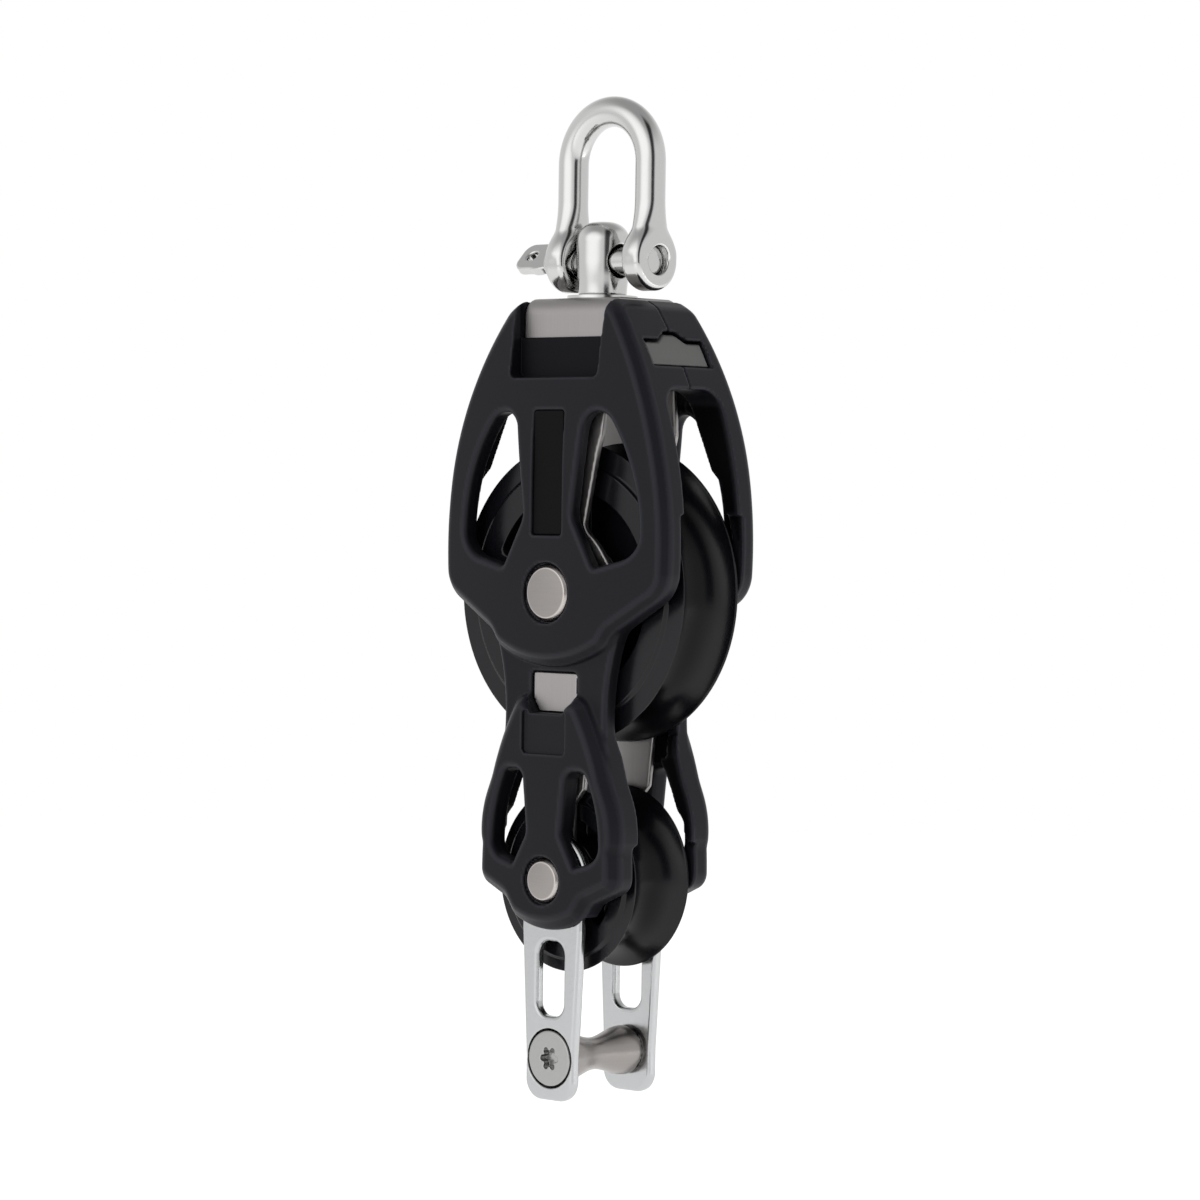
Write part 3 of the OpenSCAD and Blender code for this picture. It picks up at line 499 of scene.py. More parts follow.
def sheave(x, y, z, r, depth, axle_r, look):
    """A rope sheave: a round-bottomed groove, sides raised as far out as the ring, and pockets
    between spokes."""
    across, y = np.hypot(x, z), np.abs(y)
    groove_r = (GROOVE_LIP ** 2 + depth ** 2) / 2 / depth
    wall = y - SHEAVE_SIDE + 0.6 * smooth_step((across - r * look.ring) / 0.6)
    solid = both(across - r, wall, 0.4)
    solid = without(solid, disc(across - r + depth - groove_r, y, groove_r), look.lip_round)
    turn = 2 * math.pi / look.spokes
    angle = np.mod(np.arctan2(x, z), turn) - turn / 2
    spoke = look.spoke_width / 2 - across * np.sin(turn / 2 - np.abs(angle))
    pocket = both(both(across - r * look.web, axle_r + 4 - across, 1), spoke, 1.2)
    solid = without(solid, both(pocket, SHEAVE_SIDE - look.pocket_depth - y, 0.5), 0.35)
    return without(solid, across - axle_r - 1.6, 0.3)


# Shapes of the becket --------------------------------------------------------------------------

def becket_plate(x, y, z, look):
    """A side plate, from the lower axle down past the spool, with a long slot."""
    half = np.interp(z, [SPOOL, LOW - 9.7], [look.foot, look.plate])
    plan = both(np.abs(x) - half, SPOOL - 8.3 - z, 4)
    plan = either(both(plan, z - LOW, 0.3), disc(x, z - LOW, BECKET_EYE_R), 1.5)
    middle, thick = (STRAP_OUT + PLATE_OUT) / 2, PLATE_OUT - STRAP_OUT
    plate = both(plan, np.abs(y - middle) - thick / 2, look.edge)
    slot = rectangle(x, z - LOW + 12 + look.slot_l / 2, 3.5, look.slot_l / 2, look.slot_corner)
    plate = without(plate, slot, look.edge)
    plate = without(plate, disc(x, z - LOW, SMALL_AXLE_R + 0.02), 0.2)
    across = np.hypot(x, z - SPOOL)
    sink = across - np.interp(y, [STRAP_OUT, PLATE_OUT - 0.7], SINK)
    return without(plate, sink, 0.3)


def spool(x, y, z, look):
    """A waisted bar between the becket plates, with a collar at each end."""
    across, y = np.hypot(x, z - SPOOL), np.abs(y)
    curve = STRAP_OUT - look.spool_collar
    swell = (1 - np.cos(math.pi * np.minimum(y / curve, 1))) / 2
    waist = look.spool_waist + (look.spool_end - look.spool_waist) * swell
    radius = np.where(y > curve, look.spool_end - 0.5, waist)
    return both(across - radius, y - STRAP_OUT, 0.2)


def becket_screw(x, y, z, look):
    """A countersunk screw with a six-lobed socket."""
    z = z - SPOOL
    across = np.hypot(x, z)
    side = across - np.interp(y, [STRAP_OUT, PLATE_OUT - 0.7], SCREW_HEAD)
    solid = both(side, np.abs(y - PLATE_OUT + 1.15) - 1.15, 0.35)
    shank = both(across - 2.5, np.abs(y - STRAP_OUT + 2) - 4, 0.3)
    lobe = np.mod(np.arctan2(z, x) + math.pi / 6, math.pi / 3) - math.pi / 6
    lobes = disc(across * np.cos(lobe) - 1.75, across * np.sin(lobe), 0.55)
    socket = np.maximum(either(across - 1.5, lobes, 0.4), PLATE_OUT - look.socket - y)
    return without(np.minimum(solid, shank), socket, 0.25)


# Shapes of the shackle and the swivel ----------------------------------------------------------

def bow(x, y, z, look):
    """A half ring and two legs of round bar, with flattened ears bored for the pin."""
    flat = smooth_step((PIN_Z + 2 * EAR_R - z) / (2 * EAR_R))
    thick, wide = BAR / 2 - 0.4 * flat, BAR / 2 + 2.4 * flat
    across = np.hypot(x, np.maximum(z - CROWN_Z, 0)) - LEG_X
    bar = (np.hypot(across / thick, y / wide) - 1) * thick
    ear = both(disc(y, z - PIN_Z, EAR_R), np.abs(across) - look.ear_thickness / 2, look.ear_round)
    solid = either(both(bar, PIN_Z - z, 2), ear, look.ear_blend)
    return without(solid, disc(y, z - PIN_Z, PIN_R + 0.05), 0.5)


def pin(x, y, z, look):
    """A pin with a collar, a short neck, and a flat tab with a hole, leaning to one side."""
    z = z - PIN_Z
    across = np.hypot(y, z)
    collar = -LEG_X - look.ear_thickness / 2 - 0.05
    tab = collar - look.collar_thickness - 1.2
    end = LEG_X + look.ear_thickness / 2 - look.recess
    shank = both(across - PIN_R, np.abs(x - (tab + end) / 2) - (end - tab + 1) / 2, 0.5)
    ring = both(across - look.collar_r,
                np.abs(x - collar + look.collar_thickness / 2) - look.collar_thickness / 2, 0.35)
    a = look.lean
    y, z = y * math.cos(a) - z * math.sin(a), y * math.sin(a) + z * math.cos(a) - 1.6
    flat = rectangle(x - tab + 5.15, z, 4.55, look.tab_width / 2, 2.4)
    flat = either(flat, rectangle(x - tab + 1.5, z + 1.05, 2.2, 2.25, 0.4), 1.5)
    flat = without(flat, disc(x - tab + 6.4, z, look.hole / 2), 0.25)
    flat = both(flat, np.abs(y) - 1, 0.4)
    return either(np.minimum(shank, ring), flat, 0.6)


def eye(x, y, z, look):
    """The swivel eye: a barrel with a domed top and a belled hole, on a round shank."""
    foot = TOP + 0.65 - PIN_UP
    across = np.hypot(x, y)
    radius = look.foot + (look.barrel - look.foot) * smooth_step((z - foot) / -foot)
    barrel = both(across - radius, z - look.rise, 4)
    barrel = both(barrel, foot - z, 0.5)
    barrel = both(barrel, np.abs(x) - look.half, look.edge)
    out = np.clip((np.abs(x) - 1.2) / (look.half - 1.2), 0, 0.99)
    bell = look.bell * (1 - np.sqrt(1 - out ** 2))
    barrel = without(barrel, disc(y, z, PIN_R + 0.05) - bell, 0.25)
    shank = both(across - 4, np.abs(z - foot + 8) - 8.1, 0.4)
    return np.minimum(barrel, shank)


# Materials -------------------------------------------------------------------------------------

def calc(nodes, links, operation, *values):
    """A math node on sockets or numbers; its output."""
    made = nodes.new("ShaderNodeMath")
    made.operation = operation
    for value, socket in zip(values, made.inputs):
        if isinstance(value, (int, float)):
            socket.default_value = value
        else:
            links.new(value, socket)
    return made.outputs["Value"]


def dot(nodes, links, place, vector):
    """How far a direction points along a vector."""
    made = nodes.new("ShaderNodeVectorMath")
    made.operation = "DOT_PRODUCT"
    made.inputs[1].default_value = vector
    links.new(place, made.inputs[0])
    return made.outputs["Value"]


def step_up(nodes, links, value, low, high):
    """A smooth step from 0 at low to 1 at high, or down where high is the smaller."""
    made = nodes.new("ShaderNodeMapRange")
    made.interpolation_type = "SMOOTHSTEP"
    made.inputs["From Min"].default_value = min(low, high)
    made.inputs["From Max"].default_value = max(low, high)
    made.inputs["To Min"].default_value = float(low > high)
    made.inputs["To Max"].default_value = float(low < high)
    links.new(value, made.inputs["Value"])
    return made.outputs["Result"]


def material(name, colour, roughness, metallic=0.0, spread=0.05, grain=(900,) * 3, bump=0.02,
             tint=0.1, gloss=0.5):
    """A surface of one colour whose roughness and height vary with a fine grain. grain is the
    number of grains per metre along x, y and z, so unequal numbers give brush lines. Where a mesh
    has a tone, the surface is that much lighter or darker."""
    if name in bpy.data.materials:
        return bpy.data.materials[name]
    made = bpy.data.materials.new(name)
    made.use_nodes = True
    nodes, links = made.node_tree.nodes, made.node_tree.links
    shader = nodes["Principled BSDF"]
    shader.inputs["Metallic"].default_value = metallic
    # The tone attribute carries the painted highlights and painted shade of some pieces, and the
    # darker finish of the cheeks' panel; it scales both colour and gloss.
    lighter = nodes.new("ShaderNodeAttribute")
    lighter.attribute_name = "tone"
    lighter = calc(nodes, links, "ADD", lighter.outputs["Fac"], 1)
    links.new(calc(nodes, links, "MULTIPLY", lighter, gloss), shader.inputs["Specular IOR Level"])
    place, scale = nodes.new("ShaderNodeTexCoord"), nodes.new("ShaderNodeMapping")
    scale.inputs["Scale"].default_value = grain
    noise = nodes.new("ShaderNodeTexNoise")
    noise.inputs["Scale"].default_value = 1
    noise.inputs["Detail"].default_value = 3
    links.new(place.outputs["Object"], scale.inputs["Vector"])
    links.new(scale.outputs["Vector"], noise.inputs["Vector"])
    rough = nodes.new("ShaderNodeMapRange")
    rough.inputs["To Min"].default_value = roughness - spread
    rough.inputs["To Max"].default_value = roughness + spread
    links.new(noise.outputs["Fac"], rough.inputs["Value"])
    links.new(rough.outputs["Result"], shader.inputs["Roughness"])
    shade = nodes.new("ShaderNodeMix")
    shade.data_type = "RGBA"
    shade.inputs["A"].default_value = (*[c * (1 - tint) for c in colour], 1)
    shade.inputs["B"].default_value = (*[min(1, c * (1 + tint)) for c in colour], 1)
    links.new(noise.outputs["Fac"], shade.inputs["Factor"])
    toned = nodes.new("ShaderNodeVectorMath")
    toned.operation = "SCALE"
    links.new(shade.outputs["Result"], toned.inputs[0])
    links.new(lighter, toned.inputs["Scale"])
    links.new(toned.outputs["Vector"], shader.inputs["Base Color"])
    height = nodes.new("ShaderNodeBump")
    height.inputs["Strength"].default_value = bump
    height.inputs["Distance"].default_value = MM
    links.new(noise.outputs["Fac"], height.inputs["Height"])
    links.new(height.outputs["Normal"], shader.inputs["Normal"])
    return made


def moulded(colours):
    return material("Moulded nylon", colours.nylon, colours.nylon_roughness, grain=(2500,) * 3,
                    bump=0.03, gloss=colours.nylon_gloss)


def polished(colours):
    return material("Polished steel", colours.polished, colours.polished_roughness, metallic=1,
                    spread=0.02, grain=(260,) * 3, bump=0.01, tint=0.02)


def satin(colours):
    return material("Satin steel", colours.satin, colours.satin_roughness, metallic=1,
                    spread=0.03, grain=(800,) * 3, bump=0.02, tint=0.03)


def screw_steel(colours):
    return material("Screw steel", colours.screw, colours.satin_roughness, metallic=1,
                    grain=(900,) * 3, bump=0.02, tint=0.05)


def brushed(colours):
    return material("Brushed steel", colours.brushed, colours.brushed_roughness, metallic=1,
                    grain=(3000, 3000, 60), bump=0.03, tint=0.06)


def turned(colours):
    return material("Turned steel", colours.turned, colours.turned_roughness, metallic=1,
                    grain=(120, 120, 4000), bump=0.02, tint=0.05)


def sheave_black(colours):
    return material("Sheave black", colours.sheave, colours.sheave_roughness, grain=(1500,) * 3,
                    bump=0.008, gloss=colours.sheave_gloss)


def lock_grey(colours):
    return material("Lock grey", colours.lock, colours.nylon_roughness, grain=(2500,) * 3,
                    bump=0.05)


def label_black(colours):
    return material("Label black", colours.label, colours.label_roughness, grain=(2500,) * 3,
                    bump=0.02, gloss=colours.label_gloss)


def bronze(colours):
    return material("Bronze", colours.bronze, 0.35, metallic=1, grain=(1500,) * 3, tint=0.05)


def finish_nodes(make, *nodes):
    """Gives a material to the frame's own pieces, which keep their shape."""
    for node in nodes:
        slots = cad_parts[node].data.materials
        slots.clear()
        slots.append(make)


# Settings --------------------------------------------------------------------------------------

def length(name, millimetres, description):
    return FloatProperty(name=name, description=description, default=millimetres * MM, min=0,
                         precision=5, unit="LENGTH")


def angle(name, degrees, description):
    return FloatProperty(name=name, description=description, default=math.radians(degrees),
                         unit="ROTATION", subtype="ANGLE")


def amount(name, value, description, high=1.0):
    return FloatProperty(name=name, description=description, default=value, min=0, max=high)


def colour(name, values, description):
    return FloatVectorProperty(name=name, description=description, default=values, size=3,
                               subtype="COLOR", min=0, max=1)


def in_mm(group):
    """The settings of a group, its lengths in millimetres and the rest as they are."""
    class Values:
        pass
    for key, prop in group.bl_rna.properties.items():
        if key != "rna_type" and not prop.is_readonly:
            value = getattr(group, key)
            setattr(Values, key, value / MM if prop.unit == "LENGTH" else value)
    return Values


class FIDDLE_PG_cheeks(bpy.types.PropertyGroup):
    """Moulded cheeks"""
    bevel: length("Bevel", 1.8, "Width of the bevel round the upper faces")
    bevel_round: length("Bevel rounding", 1.5, "Rounding of that bevel's corners")
    small_bevel: length("Small bevel", 2.2, "Width of the bevel round the lower faces")
    small_bevel_round: length("Small bevel rounding", 1.7, "Rounding of that bevel's corners")
    crown_radius: length("Crown radius", 261, "Radius of the bulge across the faces")
    lean_start: length("Lean start", 22, "Height over the upper axle where the faces lean inwards")
    lean_radius: length("Lean radius", 190, "Radius of the curve by which the faces lean inwards")
    roof_round: length("Roof fillet", 4, "Fillet where the head comes down to the rope opening")
    rim_width: length("Rim width", 2.6, "Width of the rims round the sheaves")
    rim_step: length("Rim step", 15.3, "Height over the upper axle where the rims step back")
    small_rim_step: length("Small rim step", 7.3, "Height over the lower axle where they step back")
    window_round: length("Window rounding", 1.2, "Radius of the window edges")
    strap_room: length("Strap room", 11.7, "Half width of the opening in which the strap shows")
    strap_shown: length("Strap shown", 7.8, "How far down the head the strap shows")
    panel_drop: length("Panel foot", 15.8, "How far the plain panel under the strap reaches down")
    # Painted highlight: sharp outer edges of the cheeks are painted lighter and glossier, where light
    # would catch their rounding.
    edge_highlight: amount("Wear", 0.6, "How much lighter the outer edges are, worn smooth", high=3)
    highlight_at: amount("Worn edges", 0.7, "Sharpness per millimetre of a fully worn edge", high=5)
    # Partly painted shade of the panel's recess, partly its smoother finish.
    panel_shade: amount("Panel shade", 0.45, "How much darker the smooth panel under the strap is")
    # Painted shade inside the cheeks.
    inner_shade: amount("Inner shade", 0.7, "How much darker the inside of the cheeks is")
    horn_round: length("Horn rounding", 1.3, "Rounding of the horns beside the opening in the neck")
    panel_depth: length("Panel depth", 0.7, "Depth of the small panel between the horns")


class FIDDLE_PG_sheaves(bpy.types.PropertyGroup):
    """Rope sheaves"""
    groove: length("Groove depth", 6.6, "Depth of the upper sheave's groove")
    small_groove: length("Small groove depth", 5.4, "Depth of the lower sheave's groove")
    lip_round: length("Lip rounding", 0.45, "Radius of the flange edges")
    # Painted shade in the bottom of the rope groove.
    groove_shade: amount("Groove shade", 0.5, "How much darker the bottom of the groove is")
    ring: amount("Ring", 0.84, "Radius of the raised ring on the sides, as a part of the sheave's")
    web: amount("Web", 0.67, "Radius to which the pockets reach, as a part of the sheave's")
    pocket_depth: length("Pocket depth", 4.5, "Depth of the pockets between the spokes")
    spoke_width: length("Spoke width", 3, "Width of the spokes")
    spokes: IntProperty(name="Spokes", description="Number of spokes", default=5, min=3, max=12)


class FIDDLE_PG_steel(bpy.types.PropertyGroup):
    """Load strap, axles and becket"""
    bend: length("Strap bend", 3.4, "Outer radius of the bends of the strap")
    head: length("Strap half width", 11.6, "Half width of the strap over the head")
    shoulder: length("Strap shoulder", 9.8, "Half width of the strap over the upper sheave")
    neck: length("Strap neck", 6.6, "Half width of the strap over the upper axle")
    middle: length("Strap middle", 8, "Half width of the strap between the axles")
    waist: length("Strap waist", 6.1, "Half width of the strap over the lower axle")
    foot_neck: length("Strap foot", 3.5, "Half width of the strap where its lower eye begins")
    pad: length("Strap pad", PLATE_OUT - STRAP_OUT - 0.35,
                "How far the strap is pressed out in the opening of the neck")
    dome: length("Axle dome", 0.25, "How far the middle of an axle stands out")
    # Painted highlight on the chamfer round each axle end.
    rim_shine: amount("Axle rims", 0.7, "How much brighter the rims of the axle ends are")
    chamfer: length("Axle chamfer", 0.6, "Bevel round the axle ends")
    plate: length("Becket half width", 7.8, "Half width of a becket plate at its top")
    foot: length("Becket foot", 6.4, "Half width of a becket plate at the spool")
    edge: length("Plate edges", 0.8, "Rounding of the becket plates' edges")
    slot_corner: length("Slot corners", 2.7, "Radius of the slot's corners")
    slot_l: length("Slot length", 14.8, "Length of the slot in a becket plate")
    spool_waist: length("Spool waist", 3.2, "Radius of the spool in the middle")
    spool_end: length("Spool end", 4.9, "Radius of the spool at its ends")
    spool_collar: length("Spool collar", 1, "Length of the collar at each end of the spool")
    socket: length("Screw socket", 1.6, "Depth of the screw sockets")


class FIDDLE_PG_shackle(bpy.types.PropertyGroup):
    """Shackle bow and pin"""
    ear_thickness: length("Ear thickness", 5, "Thickness of the ears along the pin")
    ear_round: length("Ear rounding", 1.3, "Rounding of the ear edges")
    ear_blend: length("Ear blend", 1.5, "Fillet between the legs and the ears")
    collar_r: length("Collar radius", 4.2, "Radius of the pin's collar")
    collar_thickness: length("Collar thickness", 1.3, "Thickness of the pin's collar")
    recess: length("Pin recess", 1.8, "How far the pin stops inside the right ear")
    tab_width: length("Tab width", 7.2, "Width of the flat tab")
    hole: length("Tab hole", 2.5, "Diameter of the hole in the tab")
    lean: angle("Tab lean", 44, "Angle from upright at which the tab comes to rest")


class FIDDLE_PG_eye(bpy.types.PropertyGroup):
    """Swivel eye"""
    barrel: length("Barrel radius", 5.3, "Radius of the eye")
    foot: length("Foot radius", 4.8, "Radius of the eye at its foot")
    rise: length("Rise", 7.9, "Height of the dome over the pin axis")
    half: length("Half thickness", 5.1, "Half the thickness of the eye along the pin")
    edge: length("Edges", 0.7, "Rounding of the eye's edges")
    bell: length("Bell", 0.9, "How much the pin hole widens at its mouths")


class FIDDLE_PG_colours(bpy.types.PropertyGroup):
    """Colours and finishes"""
    nylon: colour("Nylon", (0.0082, 0.0083, 0.0112), "Colour of the cheeks")
    nylon_roughness: amount("Nylon roughness", 0.45, "Roughness of the moulded parts")
    nylon_gloss: amount("Nylon gloss", 0.13, "How much light the moulded surfaces mirror")
    sheave: colour("Sheaves", (0.005, 0.0052, 0.0072), "Colour of the sheaves")
    sheave_roughness: amount("Sheave roughness", 0.22, "Roughness of the sheaves")
    sheave_gloss: amount("Sheave gloss", 0.27, "How much light the sheaves mirror")
    lock: colour("Lock slide", (0.075, 0.075, 0.073), "Colour of the lock slide")
    label: colour("Labels", (0.003, 0.003, 0.0035), "Colour of the label plates")
    label_gloss: amount("Label gloss", 0.07, "How much light the label plates mirror")
    label_roughness: amount("Label roughness", 0.6, "Roughness of the label plates")
    polished: colour("Polished steel", (0.53, 0.53, 0.525), "Tint of the polished steel")
    polished_roughness: amount("Polish roughness", 0.14, "Roughness of the polished steel")
    satin: colour("Satin steel", (0.44, 0.445, 0.45), "Tint of the becket plates")
    satin_roughness: amount("Satin roughness", 0.22, "Roughness of the becket plates and screws")
    screw: colour("Screw steel", (0.34, 0.34, 0.332), "Tint of the becket screws")
    brushed: colour("Brushed steel", (0.31, 0.296, 0.292), "Tint of the load strap")
    brushed_roughness: amount("Brush roughness", 0.42, "Roughness of the load strap")
    turned: colour("Turned steel", (0.28, 0.262, 0.25), "Tint of the axles and the spool")
    turned_roughness: amount("Turned roughness", 0.3, "Roughness of the axles and the spool")
    bronze: colour("Bronze", (0.6, 0.42, 0.22), "Colour of the sleeves and the thrust washer")


class FIDDLE_PG_stage(bpy.types.PropertyGroup):
    """Camera, lamps and floor"""
    azimuth: angle("Azimuth", 42.677, "Direction of the camera round the block")
    elevation: angle("Elevation", 1.2, "Height of the camera over the horizon")
    roll: angle("Roll", 0.838, "Tilt of the camera about its view")
    distance: length("Distance", 848.1, "Distance of the camera from the upper axle")
    to_right: length("Shift right", 0.353, "Shift of the camera to its right")
    down: length("Shift down", 1.461, "Shift of the camera downwards")
    lens: FloatProperty(name="Lens", description="Focal length in millimetres", default=128.42, min=1)
    floor_drop: length("Floor drop", 60, "How far the floor lies below the block")
    key: FloatProperty(name="Key lamp", description="Power of the key lamp", default=2.5,
                       min=0, unit="POWER")
    fill: FloatProperty(name="Side lamp", description="Power of the side lamp", default=4.0,
                        min=0, unit="POWER")
    room: amount("Room light", 0.4, "Strength of the light from all round")
    dark: amount("Strip shade", 0.06, "Brightness of the dark strip behind the camera")
    strip_at: amount("Strip place", 0.29, "How far the dark strip lies to the right, as a sine")
    strip_width: amount("Strip width", 0.3, "How wide the dark strip is to each side, as a sine")
    glow: amount("Key glow", 0.7, "How much brighter the key lamp looks in glossy surfaces", high=10)
    top: amount("Top light", 0.5, "Brightness overhead, as metal shows it")


# Steps -----------------------------------------------------------------------------------------

def draw(node, field, step, made, body, origin=BLOCK, twin=None, sides=0, toned=None,
         past=1):
    """A piece that stands for a node, and its mirror image for the node's twin. toned gives the
    tone of points on the piece, and past is how far it may reach past the node's box."""
    low, high = (np.array(corner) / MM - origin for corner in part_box(node))
    shape = skin(field, low - past, high + past, step, sides)
    tone = toned(shape[0]) if toned else None
    make_piece(node, shape, made, body, origin, tone)
    if twin:
        make_piece(twin, shape, made, body, origin, tone, mirrored=True)


class FIDDLE_OT_cheeks(bpy.types.Operator):
    """Builds the two moulded cheeks"""
    bl_idname = "fiddle.cheeks"
    bl_label = "Cheeks"

    def execute(self, context):
        settings = context.scene.fiddle_block
        look = in_mm(settings.cheeks)

        def field(x, y, z):
            return cheek(x, y, z, look)

        def toned(points):
            x, y, z = points.T
            # The plain panel under the strap is painted darker: partly painted shade of its recess,
            # partly its smoother finish.
            panel = (np.abs(y - STRAP_OUT - 0.7) < 0.4) & (z > TOP - look.panel_drop - 0.2)
            panel &= np.abs(x) < look.strap_room + 0.2
            # Painted highlight on the sharp outer edges, lighter the sharper they turn.
            highlit = np.clip(sharpness(field, points) / look.highlight_at, 0, 1)
            # Painted shade: the inside of the cheeks, behind the rims and under the head, is painted
            # darker.
            inner = smooth_step((STRAP_OUT + 2.5 - y) / 2)
            inner = inner * smooth_step((-whole_plan(x, z) - 0.8) / 0.6)
            inner = inner * smooth_step((ROOF - 2 - z) / 1.5)
            return np.where(panel, -look.panel_shade, highlit * look.edge_highlight - inner * look.inner_shade)

        draw("cheek_far", field, 0.45, moulded(settings.colours), "frame",
             twin="cheek_near", toned=toned)
        return {"FINISHED"}


class FIDDLE_OT_labels(bpy.types.Operator):
    """Builds the blank label plates"""
    bl_idname = "fiddle.labels"
    bl_label = "Label plates"

    def execute(self, context):
        made = label_black(context.scene.fiddle_block.colours)
        draw("label_far", label, 0.2, made, "frame", twin="label_near")
        return {"FINISHED"}


class FIDDLE_OT_lock(bpy.types.Operator):
    """Builds the lock slide of the swivel"""
    bl_idname = "fiddle.lock"
    bl_label = "Lock slide"

    def execute(self, context):
        made = lock_grey(context.scene.fiddle_block.colours)
        draw("lock_slide", lock_slide, 0.2, made, "lock")
        return {"FINISHED"}


class FIDDLE_OT_strap(bpy.types.Operator):
    """Builds the load strap over the head"""
    bl_idname = "fiddle.strap"
    bl_label = "Load strap"

    def execute(self, context):
        settings = context.scene.fiddle_block
        look = in_mm(settings.steel)
        draw("load_strap", lambda x, y, z: strap(x, y, z, look), 0.4,
             brushed(settings.colours), "frame", past=look.pad + 0.8)
        return {"FINISHED"}


class FIDDLE_OT_sheaves(bpy.types.Operator):
    """Builds the two rope sheaves"""
    bl_idname = "fiddle.sheaves"
    bl_label = "Sheaves"

    def execute(self, context):
        settings = context.scene.fiddle_block
        look, made = in_mm(settings.sheaves), sheave_black(settings.colours)
        low = BLOCK + np.array([0, 0, LOW])

        def draw_sheave(node, r, depth, axle_r, step, wheel, origin, sides):
            def field(x, y, z):
                return sheave(x, y, z, r, depth, axle_r, look)

            def toned(points):
                x, y, z = points.T
                # Painted shade: the deep bottom of the rope groove is painted darker, as the shade
                # between its flanges.
                down = (r - np.hypot(x, z)) / depth
                groove = smooth_step((GROOVE_LIP - 0.4 - np.abs(y)) / 0.5) * (down < 1.1)
                return -look.groove_shade * groove * smooth_step((down - 0.45) / 0.5)

            draw(node, field, step, made, wheel, origin=origin, sides=sides,
                 toned=toned)

        draw_sheave("upper_sheave", SHEAVE_R, look.groove, AXLE_R, 0.33, "upper_wheel", BLOCK, 264)
        draw_sheave("lower_sheave", SMALL_R, look.small_groove, SMALL_AXLE_R, 0.3, "lower_wheel",
                    low, 216)
        finish_nodes(bronze(settings.colours), "upper_sleeve", "lower_sleeve")
        return {"FINISHED"}


class FIDDLE_OT_axles(bpy.types.Operator):
    """Builds the two axles"""
    bl_idname = "fiddle.axles"
    bl_label = "Axles"

    def execute(self, context):
        settings = context.scene.fiddle_block
        look, made = in_mm(settings.steel), turned(settings.colours)
        for node, r, height in (("upper_axle", AXLE_R, 0), ("lower_axle", SMALL_AXLE_R, LOW)):
            # Painted highlight: the chamfer round each axle end is painted brighter.
            draw(node, lambda x, y, z: axle(x, y, z, r, look), 0.2, made, "frame",
                 origin=BLOCK + np.array([0, 0, height]), sides=96,
                 toned=lambda points: look.rim_shine * smooth_step(
                     (np.hypot(points[:, 0], points[:, 2]) - r + look.chamfer + 0.3) / 0.3))
        return {"FINISHED"}


class FIDDLE_OT_becket(bpy.types.Operator):
    """Builds the becket plates, the spool and its screws"""
    bl_idname = "fiddle.becket"
    bl_label = "Becket"

    def execute(self, context):
        settings = context.scene.fiddle_block
        look = in_mm(settings.steel)
        draw("becket_plate_far", lambda x, y, z: becket_plate(x, y, z, look), 0.3,
             satin(settings.colours), "frame", twin="becket_plate_near")
        draw("becket_spool", lambda x, y, z: spool(x, y, z, look), 0.25,
             turned(settings.colours), "frame")
        draw("becket_screw_far", lambda x, y, z: becket_screw(x, y, z, look), 0.17,
             screw_steel(settings.colours), "frame", twin="becket_screw_near")
        return {"FINISHED"}


class FIDDLE_OT_shackle(bpy.types.Operator):
    """Builds the shackle bow and its pin"""
    bl_idname = "fiddle.shackle"
    bl_label = "Shackle"

    def execute(self, context):
        settings = context.scene.fiddle_block
        look, made = in_mm(settings.shackle), polished(settings.colours)
        crown = np.zeros(3)
        draw("shackle_bow", lambda x, y, z: bow(x, y, z, look), 0.3,
             made, "shackle", origin=crown)
        draw("shackle_pin", lambda x, y, z: pin(x, y, z, look), 0.25,
             made, "pin", origin=crown)
        return {"FINISHED"}


class FIDDLE_OT_swivel(bpy.types.Operator):
    """Builds the swivel eye and finishes its washers, nut and index collar"""
    bl_idname = "fiddle.swivel"
    bl_label = "Swivel"

    def execute(self, context):
        settings = context.scene.fiddle_block
        look = in_mm(settings.eye)
        draw("swivel_eye", lambda x, y, z: eye(x, y, z, look), 0.25,
             polished(settings.colours), "swivel",
             origin=BLOCK + np.array([0, 0, PIN_UP]))
        finish_nodes(polished(settings.colours), "top_washer")
        finish_nodes(turned(settings.colours), "swivel_nut", "index_collar")
        finish_nodes(bronze(settings.colours), "thrust_washer")
        return {"FINISHED"}


def lamp(name, power, size, place, aim):
    """A soft box that points at a place."""
    data = bpy.data.lights.new(name, "AREA")
    data.shape = "RECTANGLE"
    data.size, data.size_y = size
    data.energy = power
    made = bpy.data.objects.new(name, data)
    made.location = place
    made.rotation_euler = (Vector(aim) - Vector(place)).to_track_quat("-Z", "Y").to_euler()
    made.visible_glossy = False
    bpy.context.scene.collection.objects.link(made)


